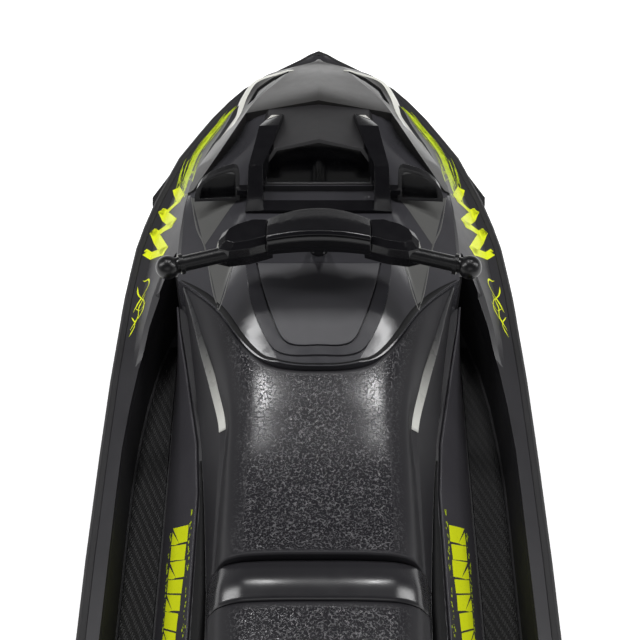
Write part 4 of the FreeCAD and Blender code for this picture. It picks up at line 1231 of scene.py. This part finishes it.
@dataclass
class Cushion:
    """One moulded cushion as a smooth shell over its CAD solid.

    Its rows hold a share of the length, then the half breadths of foot, side, ledge and
    shoulder, then the heights of side, ledge, shoulder and centre, all as shares too.
    """

    pad: Pads
    rows: Rows
    grained: bool = True
    half: float = 49.95 * MM
    rise: float = 42.0 * MM
    base: float = 56.0 * MM
    bottom: float = 59.3 * MM
    crown: Pair = (0.75, 0.78)
    cuts: tuple[int, ...] = (14, 9, 9)
    wall_cuts: int = 6
    soft: float = 0.9 * MM
    soft_limit: float = 0.45
    lip: float = 1.3 * MM
    lip_step: float = 30.0
    lip_rings: int = 4
    fitting_rounds: int = 20
    step: float = 1.6 * MM
    least_steps: int = 8
    grain_edge: tuple[float, float, float] = (0.93, 0.9, 0.50)
    grain_fade: Rows = ((1.5, 10.0), (-2.2, 1.2), (-1.6, 1.5))

    def front_share(self, x: float) -> float:
        """Front end of the cushion at a distance from the centreline, as a share."""
        seamed = self.pad is Pads.FRONT
        return smooth_row(SEAM, x / SEAM_HALF)[0] if seamed else self.rows[-1][0]

    def profile(self, share: float) -> list[Pair]:
        """Half cross-section from the centre out and down to the foot.

        Args:
            share: Place along the craft.

        Returns:
            Points as distance from the centreline and height.
        """
        values = smooth_row(self.rows, share)
        foot, side, ledge, shoulder = [part * self.half for part in values[:4]]
        heights = [self.base + part * self.rise for part in values[4:]]
        side_z, ledge_z, shoulder_z, centre_z = heights
        shelf_x = shoulder * self.crown[0]
        shelf_z = shoulder_z + (centre_z - shoulder_z) * self.crown[1]
        knots = [Vector(spot) for spot in (
            (-shelf_x, shelf_z), (0.0, centre_z), (shelf_x, shelf_z), (shoulder, shoulder_z),
            (ledge, ledge_z))]
        corner, wall, end = knots[4], Vector((side, side_z)), Vector((foot, self.bottom))
        knots.append(corner + (corner - knots[3]))
        points = [curve_point(knots, k + i / count)
                  for k, count in enumerate(self.cuts, 1) for i in range(count)]
        points += self.corner(points[-1], corner, wall)
        points += self.corner(corner, wall, end)
        for i in range(1, self.wall_cuts + 1):
            points.append(points[-1].lerp(end, i / self.wall_cuts))
        return [(point.x, point.y) for point in points]

    def corner(self, before: Vector, at: Vector, after: Vector) -> list[Vector]:
        """Rounded corner of the cross-section.

        Args:
            before: Point before the corner.
            at: The corner.
            after: Point after it.

        Returns:
            Five points round it.
        """
        start, end = [at + way.normalized() * min(self.soft, way.length * self.soft_limit)
                      for way in (before - at, after - at)]
        return [start * (1 - t) ** 2 + at * 2 * t * (1 - t) + end * t * t
                for t in (0.0, 0.25, 0.5, 0.75, 1.0)]

    def grain_level(self, x: float, share: float) -> float:
        """Strength of the leather grain, which fades out towards the edges.

        Args:
            x: Distance from the centreline.
            share: Place along the craft.

        Returns:
            A level from 0 to 1.
        """
        if not self.grained:
            return 0.0
        least, growth, begin = self.grain_edge
        shoulder = smooth_row(self.rows, share)[3] * self.half
        distances = (shoulder * (least + growth * max(0.0, share - begin)) - x,
                     (self.front_share(x) - share) * LENGTH,
                     (share - self.rows[0][0]) * LENGTH)
        level = 1.0
        for distance, (shift, fade) in zip(distances, self.grain_fade):
            level *= held((distance + shift * MM) / (fade * MM))
        return level

    def ends(self) -> list[float]:
        """Front end of each column of the shell.

        Returns:
            Their shares of the length.
        """
        last = self.rows[-1][0]
        found = []
        for column in range(len(self.profile(last))):
            share = last
            for _ in range(self.fitting_rounds):
                share = min(self.front_share(self.profile(share)[column][0]), last)
            found.append(share)
        return found

    def build(self) -> None:
        """Build the shell in place of its CAD node."""
        rear, ends, inner = self.rows[0][0], self.ends(), self.lip / LENGTH
        count = max(self.least_steps, int((max(ends) - rear) * LENGTH / self.step))
        rings, grains = [], []
        for i in range(-self.lip_rings, count + self.lip_rings + 1):
            part, over = held(i / count), max(-i, i - count, 0)
            turn = math.radians(min(90.0, self.lip_step * over))
            ahead = self.lip * math.sin(turn) * (1 if i > count else -1)
            ring, level = [], []
            for column, end in enumerate(ends):
                low, high = rear + inner, end - inner
                share = low + (high - low) * part
                x, z = self.profile(share)[column]
                if over:
                    z = max(self.bottom, z - self.lip * (1 - math.cos(turn)))
                if over == self.lip_rings:
                    z = self.bottom
                ring.append((x, station(share) + ahead, z))
                level.append(self.grain_level(x, share))
            rings.append([(-x, y, z) for x, y, z in reversed(ring[1:])] + ring)
            grains += list(reversed(level[1:])) + level
        slot, look = ("seat_grain", Look.SEAT) if self.grained else ("seat_band", Look.BAND)
        piece = Piece(self.pad.value + "_shell", "seat_body", slot, look)
        piece.grid(rings)
        rim, total = len(rings[0]), len(piece.corners)
        left, right = list(range(0, total, rim)), list(range(rim - 1, total, rim))
        front, back = list(range(total - rim, total)), list(range(rim))
        piece.faces.append(tuple(left + front[1:] + right[::-1][1:] + back[::-1][1:-1]))
        item = piece.build()
        item.data.attributes.new(GRAIN, "FLOAT", "POINT").data.foreach_set("value", grains)
        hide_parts(self.pad.value)


@dataclass
class Seat(Assembly):
    """Pan and cushions, the strips on them with a painted reflection, and dark strips of painted
    shade at their foot.
    """

    dressed: tuple[Dressing, ...] = (Dressing("seat_pan", Look.DECK, 0.3),)
    front_rows: Rows = (
        (0.354, 1.067, 1.000, 0.970, 0.865, 0.487, 0.535, 0.830, 0.985),
        (0.390, 1.100, 1.000, 0.970, 0.870, 0.450, 0.495, 0.740, 0.850),
        (0.440, 1.150, 1.000, 0.960, 0.870, 0.425, 0.475, 0.665, 0.778),
        (0.490, 1.215, 1.012, 0.940, 0.875, 0.430, 0.505, 0.690, 0.820),
        (0.530, 1.285, 1.125, 1.045, 0.920, 0.450, 0.540, 0.740, 0.895),
        (0.575, 1.365, 1.275, 1.185, 1.020, 0.480, 0.570, 0.765, 0.942),
        (0.620, 1.450, 1.415, 1.335, 1.200, 0.525, 0.605, 0.755, 0.965),
        (0.658, 1.535, 1.560, 1.530, 1.440, 0.560, 0.610, 0.700, 0.977),
    )
    bolster_rows: Rows = (
        (0.320, 1.055, 1.010, 0.995, 0.885, 0.487, 0.530, 0.740, 0.883),
        (0.336, 1.060, 1.010, 0.995, 0.885, 0.487, 0.535, 0.775, 0.918),
        (0.354, 1.067, 1.000, 0.985, 0.870, 0.487, 0.530, 0.725, 0.860),
    )
    rear_rows: Rows = (
        (0.148, 0.895, 0.860, 0.840, 0.640, 0.393, 0.420, 0.540, 0.603),
        (0.160, 0.940, 0.900, 0.880, 0.710, 0.487, 0.525, 0.725, 0.837),
        (0.200, 1.000, 0.960, 0.945, 0.785, 0.510, 0.555, 0.820, 0.965),
        (0.270, 1.040, 1.000, 0.985, 0.850, 0.510, 0.555, 0.800, 0.942),
        (0.320, 1.055, 1.010, 0.995, 0.880, 0.487, 0.530, 0.730, 0.872),
    )
    bolster_lip: float = 2.0 * MM
    bolster_step: float = 0.8 * MM
    strip_stretch: Pair = (0.4885, 0.6410)
    strip_steps: int = 56
    strip_lift: float = 0.45 * MM
    strip_taper: Pair = (0.30, 1.1)
    strip_section: Rows = (
        (-0.02, -1.2), (0.02, 0.75), (0.12, 1.0), (0.5, 1.1), (0.88, 1.0), (0.98, 0.75),
        (1.02, -1.2),
    )
    sill_stretch: Pair = (0.155, 0.480)
    sill_steps: int = 60
    sill_gap: float = 0.4 * MM
    sill_reach: float = 9.0 * MM
    sill_feel: float = 0.25 * MM
    sill_least: float = 0.3 * MM
    sill_edge: float = 0.1 * MM
    sill_heights: Pair = (0.02 * MM, 0.30 * MM)

    def strip(self, cushion: Cushion, side: Side) -> None:
        """Build the raised strip along one side of the front cushion, pale towards its rear end
        from a painted reflection.

        Args:
            cushion: The front cushion.
            side: The side of the craft.
        """
        rows = []
        low, high = self.strip_stretch
        blunt, growth = self.strip_taper
        for share in shares(self.strip_stretch, self.strip_steps):
            _, outer, inner, _, outer_z, inner_z, _, _ = smooth_row(cushion.rows, share)
            start, end = [Vector((x * cushion.half, cushion.base + z * cushion.rise))
                          for x, z in ((outer, outer_z), (inner, inner_z))]
            across = (end - start) * min(1.0, blunt + growth * (high - share) / (high - low))
            up = Vector((-across.y, across.x)).normalized()
            if up.y < 0:
                up = -up
            spots = [start + across * along + up * lift * self.strip_lift
                     for along, lift in self.strip_section]
            rows.append([(side.value * spot.x, station(share), spot.y) for spot in spots])
        piece = Piece(side.of("seat_strip"), "seat_body", "seat_band", Look.TRIM)
        piece.tube(rows)
        piece.build()

    def sill(self, cushions: tuple[Cushion, ...], side: Side) -> None:
        """Lay a black strip of painted shade on the ledge of the deck beside the foot of the
        seat.

        Args:
            cushions: The cushions from stern to bow.
            side: The side of the craft.
        """
        ground = Surface("deck", side.of("side_panel"))
        rows = []
        flat, raised = self.sill_heights
        feel = self.sill_feel
        for share in shares(self.sill_stretch, self.sill_steps):
            y = station(share)
            cushion = next((pad for pad in cushions if share <= pad.rows[-1][0]), cushions[-1])
            inner = smooth_row(cushion.rows, share)[0] * cushion.half + self.sill_gap
            outer = inner
            while (outer < inner + self.sill_reach
                   and ground.drop(side.value * (outer + feel), y, 0.0)[2] > cushion.base - feel):
                outer += feel
            outer = max(outer, inner + self.sill_least)
            rows.append([(side.value * x, y, cushion.base + lift) for x, lift in (
                (inner, flat), (inner + self.sill_edge, raised),
                (outer - self.sill_edge, raised), (outer, flat))])
        piece = Piece(side.of("seat_foot_shade"), "hull_body", "rail_black", Look.SEAM)
        piece.grid(rows)
        piece.build()

    def build(self) -> None:
        """Dress the pan and build the cushions and strips."""
        super().build()
        front = Cushion(Pads.FRONT, self.front_rows)
        bolster = Cushion(Pads.BOLSTER, self.bolster_rows, False, lip=self.bolster_lip,
                          step=self.bolster_step)
        rear = Cushion(Pads.REAR, self.rear_rows)
        for cushion in (front, bolster, rear):
            cushion.build()
        for side in Side:
            self.strip(front, side)
            self.sill((rear, bolster, front), side)


@dataclass
class Graphics(Assembly):
    """Lime brush stripes, a saw-toothed band, loose strokes and a column of blocks."""

    lift: float = 0.10 * MM
    stroke_section: Row = (-0.5, -0.17, 0.17, 0.5)
    stripe_line: Rows = (
        (0.761, 81.2), (0.794, 80.4), (0.825, 79.0), (0.851, 75.2), (0.874, 69.0),
        (0.892, 61.9), (0.904, 58.2), (0.916, 53.0),
    )
    stripe_seed: int = 11
    stripe_cores: Rows = (
        (0.792, 0.916, 0.5, 3.2), (0.800, 0.905, 2.4, 1.9), (0.796, 0.880, -1.3, 1.3),
    )
    stripe_step: float = 1.6 * MM
    stripe_tips: tuple[Pair, Pair] = ((7.0, 0.05), (5.0, 0.04))
    stripe_flutter: Pair = (0.85, 0.3)
    bristles: int = 70
    bristle_run: float = 0.129
    bristle_reach: Pair = (0.010, 0.030)
    bristle_breadth: Pair = (0.25 * MM, 0.55 * MM)
    bristle_fan: Pair = (1.0, 2.6)
    bristle_drift: Pair = (0.6, 1.25)
    splashes: int = 40
    splash_run: Pair = (0.751, 0.07)
    splash_reach: Pair = (0.002, 0.004)
    splash_breadth: Pair = (0.3 * MM, 0.6 * MM)
    splash_drift: float = 3.6
    teeth: Rows = (
        (87.6, 0.8040), (81.4, 0.7600), (95.4, 0.7785), (85.0, 0.7310), (99.6, 0.7530),
        (89.2, 0.7040), (103.4, 0.7280),
    )
    band_breadth: float = 4.5 * MM
    band_overlap: float = 0.3
    band_section: Row = (-0.5, -0.25, 0.0, 0.25, 0.5)
    band_cuts: int = 18
    swirl_strokes: tuple[tuple[float, Rows], ...] = (
        (0.9, ((103.0, 0.692), (99.0, 0.688), (98.4, 0.680), (103.5, 0.668), (106.8, 0.655))),
        (0.8, ((105.8, 0.686), (104.8, 0.676), (100.6, 0.664), (100.4, 0.652), (105.4, 0.644))),
        (0.7, ((99.8, 0.671), (103.4, 0.661), (103.6, 0.648), (107.4, 0.634))),
        (0.6, ((107.4, 0.650), (104.8, 0.640), (107.6, 0.626))),
        (0.5, ((98.6, 0.659), (102.0, 0.655), (106.0, 0.660))),
    )
    swirl_cuts: int = 12
    swirl_tips: tuple[Pair, Pair] = ((6.0, 0.2), (4.0, 0.15))
    swirl_wave: Row = (0.8, 0.3, 9.0)
    block_start: float = 0.4420
    block_edges: Pair = (75.8, 65.6)
    block_drift: Pair = (0.10, 1.7)
    block_slant: float = 0.0150
    block_fill: float = 0.91
    block_waist: float = 0.48
    block_skew: Row = (0.4, 0.3, 2.6)
    block_tilts: Pair = (0.5, 0.3)
    block_rows: Rows = (
        (0.0170, 0.0, 0.45), (0.0150, 0.3, 0.0), (0.0165, 0.2, 0.55), (0.0130, 0.5, 0.0),
        (0.0150, 0.9, 0.5), (0.0160, 1.3, 0.0), (0.0140, 1.6, 0.4), (0.0150, 1.9, 0.0),
        (0.0150, 2.2, 0.5),
    )
    speck_seed: int = 5
    specks: int = 110
    speck_edges: Pair = (64.4, 76.4)
    speck_drifts: Pair = (0.8, 0.6)
    speck_run: Pair = (0.300, 0.142)
    speck_breadth: Pair = (0.25, 0.5)
    speck_length: Pair = (1.0, 3.0)
    speck_slant: float = 0.3
    speck_point: float = 0.2

    def stroke(self, piece: Piece, ground: Surface, path: list[Vector], widths: list[float],
               side: Side) -> None:
        """Add one painted stroke that lies on the surface.

        Args:
            piece: The mesh that takes it.
            ground: The surface below.
            path: Points in plan, in metres, with x counted outboard.
            widths: Breadth at each point.
            side: The side of the craft.
        """
        section = [(part, self.lift) for part in self.stroke_section]
        piece.drape(ground, path, widths, section, side)

    def stripe(self, ground: Surface, side: Side) -> None:
        """Paint the dry-brush stripe along the shoulder.

        Args:
            ground: The deck.
            side: The side of the craft.
        """
        dice = Dice(self.stripe_seed)
        piece = Piece(side.of("brush_stripe"), "hull_body", "panel_grey", Look.BRUSH)
        low, high = self.stripe_line[0][0], self.stripe_line[-1][0]

        def run(start: float, end: float, offset: float, width: float) -> None:
            """Lay one bristle mark.

            Args:
                start: Share where it starts.
                end: Share where it ends.
                offset: Distance outboard of the guide line in metres.
                width: Its breadth in metres.
            """
            steps = max(4, int((end - start) * LENGTH / self.stripe_step))
            path, widths = [], []
            for i in range(steps + 1):
                part = i / steps
                share = start + (end - start) * part
                x = smooth_row(self.stripe_line, share)[0] * MM + offset
                path.append(Vector((x, station(share))))
                flutter = dice.some(self.stripe_flutter)
                widths.append(width * taper(part, self.stripe_tips) * flutter)
            self.stroke(piece, ground, path, widths, side)

        for start, end, offset, width in self.stripe_cores:
            run(start, end, offset * MM, width * MM)
        middle, drift = self.bristle_drift
        least, fan = self.bristle_fan
        for _ in range(self.bristles):
            start = dice.some((low, self.bristle_run))
            end = min(high, start + dice.some(self.bristle_reach))
            spread = least + fan * (1 - (start - low) / (high - low))
            offset = dice.gauss(middle, drift * spread) * MM
            run(start, end, offset, dice.some(self.bristle_breadth))
        for _ in range(self.splashes):
            start = dice.some(self.splash_run)
            end = start + dice.some(self.splash_reach)
            offset = dice.gauss(0.0, self.splash_drift) * MM
            run(start, end, offset, dice.some(self.splash_breadth))
        piece.build()

    def zigzag(self, ground: Surface, side: Side) -> None:
        """Print the saw-toothed band below the stripe, bar after overlapping bar.

        Args:
            ground: The deck.
            side: The side of the craft.
        """
        piece = Piece(side.of("zigzag_band"), "hull_body", "panel_grey", Look.LIME)
        section = [(part, self.lift) for part in self.band_section]
        knots = plan(self.teeth)
        for start, end in zip(knots, knots[1:]):
            extra = (end - start).normalized() * self.band_breadth * self.band_overlap
            start, end = start - extra, end + extra
            path = [start.lerp(end, i / self.band_cuts) for i in range(self.band_cuts + 1)]
            piece.drape(ground, path, [self.band_breadth] * len(path), section, side)
        piece.build()

    def swirls(self, ground: Surface, side: Side) -> None:
        """Paint the loose curved strokes beside the footwell.

        Args:
            ground: The deck.
            side: The side of the craft.
        """
        piece = Piece(side.of("brush_swirls"), "hull_body", "panel_grey", Look.LIME)
        level, swing, turns = self.swirl_wave
        for width, points in self.swirl_strokes:
            knots = plan(points)
            steps = self.swirl_cuts * (len(knots) - 1)
            path, widths = [], []
            for i in range(steps + 1):
                part = i / steps
                path.append(curve_point(knots, part * (len(knots) - 1)))
                wave = level + swing * math.sin(turns * part)
                widths.append(width * MM * taper(part, self.swirl_tips) * wave)
            self.stroke(piece, ground, path, widths, side)
        piece.build()

    def ladder(self, ground: Surface, side: Side) -> None:
        """Print the column of slanted blocks on the side panel.

        Args:
            ground: The side panel.
            side: The side of the craft.
        """
        piece = Piece(side.of("block_column"), "hull_body", "panel_grey", Look.LIME)
        top, slant = self.block_start, self.block_slant
        foot, heel, jut = self.block_skew
        for index, (reach, inset, notch) in enumerate(self.block_rows):
            outer = self.block_edges[0] + self.block_drift[0] * index
            inner = self.block_edges[1] + self.block_drift[1] * inset
            low = top - reach * self.block_fill
            middle = outer + (inner - outer) * self.block_waist
            start = ((outer, top), (inner, top - slant))
            if notch:
                waist = (middle, low - slant * self.block_tilts[0])
                sheets = (
                    (*start, (inner, low - slant), waist),
                    ((outer, top - reach * notch / 2), waist,
                     (middle + jut, low - slant * self.block_tilts[1]), (outer + heel, low)),
                )
            else:
                sheets = ((*start, (inner + foot, low - slant), (outer, low)),)
            for corners in sheets:
                piece.patch(ground, corners, side, self.lift)
            top -= reach
        piece.build()

    def spray(self, ground: Surface, side: Side) -> None:
        """Paint the specks along both edges of the block column.

        Args:
            ground: The side panel.
            side: The side of the craft.
        """
        dice = Dice(self.speck_seed)
        piece = Piece(side.of("block_specks"), "hull_body", "panel_grey", Look.BRUSH)
        for _ in range(self.specks):
            top = dice.some(self.speck_run)
            outboard = int(dice.random() >= 0.5)
            away = abs(dice.gauss(0.0, self.speck_drifts[outboard]))
            x = self.speck_edges[outboard] + (away if outboard else -away)
            width = dice.some(self.speck_breadth)
            reach = width * MM / LENGTH * dice.some(self.speck_length)
            corners = ((x + width, top), (x, top - reach * self.speck_slant),
                       (x + width * self.speck_point, top - reach), (x + width, top - reach))
            piece.patch(ground, corners, side, self.lift, 2)
        piece.build()

    def build(self) -> None:
        """Put all lime graphics on both sides."""
        deck = Surface("deck")
        for side in Side:
            for paint in (self.stripe, self.zigzag, self.swirls):
                paint(deck, side)
            panel = Surface(side.of("side_panel"))
            for paint in (self.ladder, self.spray):
                paint(panel, side)


@dataclass
class JetDrive(Assembly):
    """Jet housing, impeller and steering nozzle."""

    dressed: tuple[Dressing, ...] = (
        Dressing("jet_housing", Look.JET, 0.25),
        Dressing("impeller", Look.BRONZE, 0.15),
        Dressing("steering_nozzle", Look.JET, 0.25),
    )


def main() -> None:
    """Build the scene in order."""
    logging.basicConfig(level=logging.INFO, format="%(message)s")
    Studio().build()
    for look in Look:
        made(look)
    for assembly in (Mouldings(), Front(), Handlebar(), Seat(), Graphics(), JetDrive()):
        assembly.build()
        LOG.info("built %s", type(assembly).__name__)


if __name__ == "__main__":
    main()
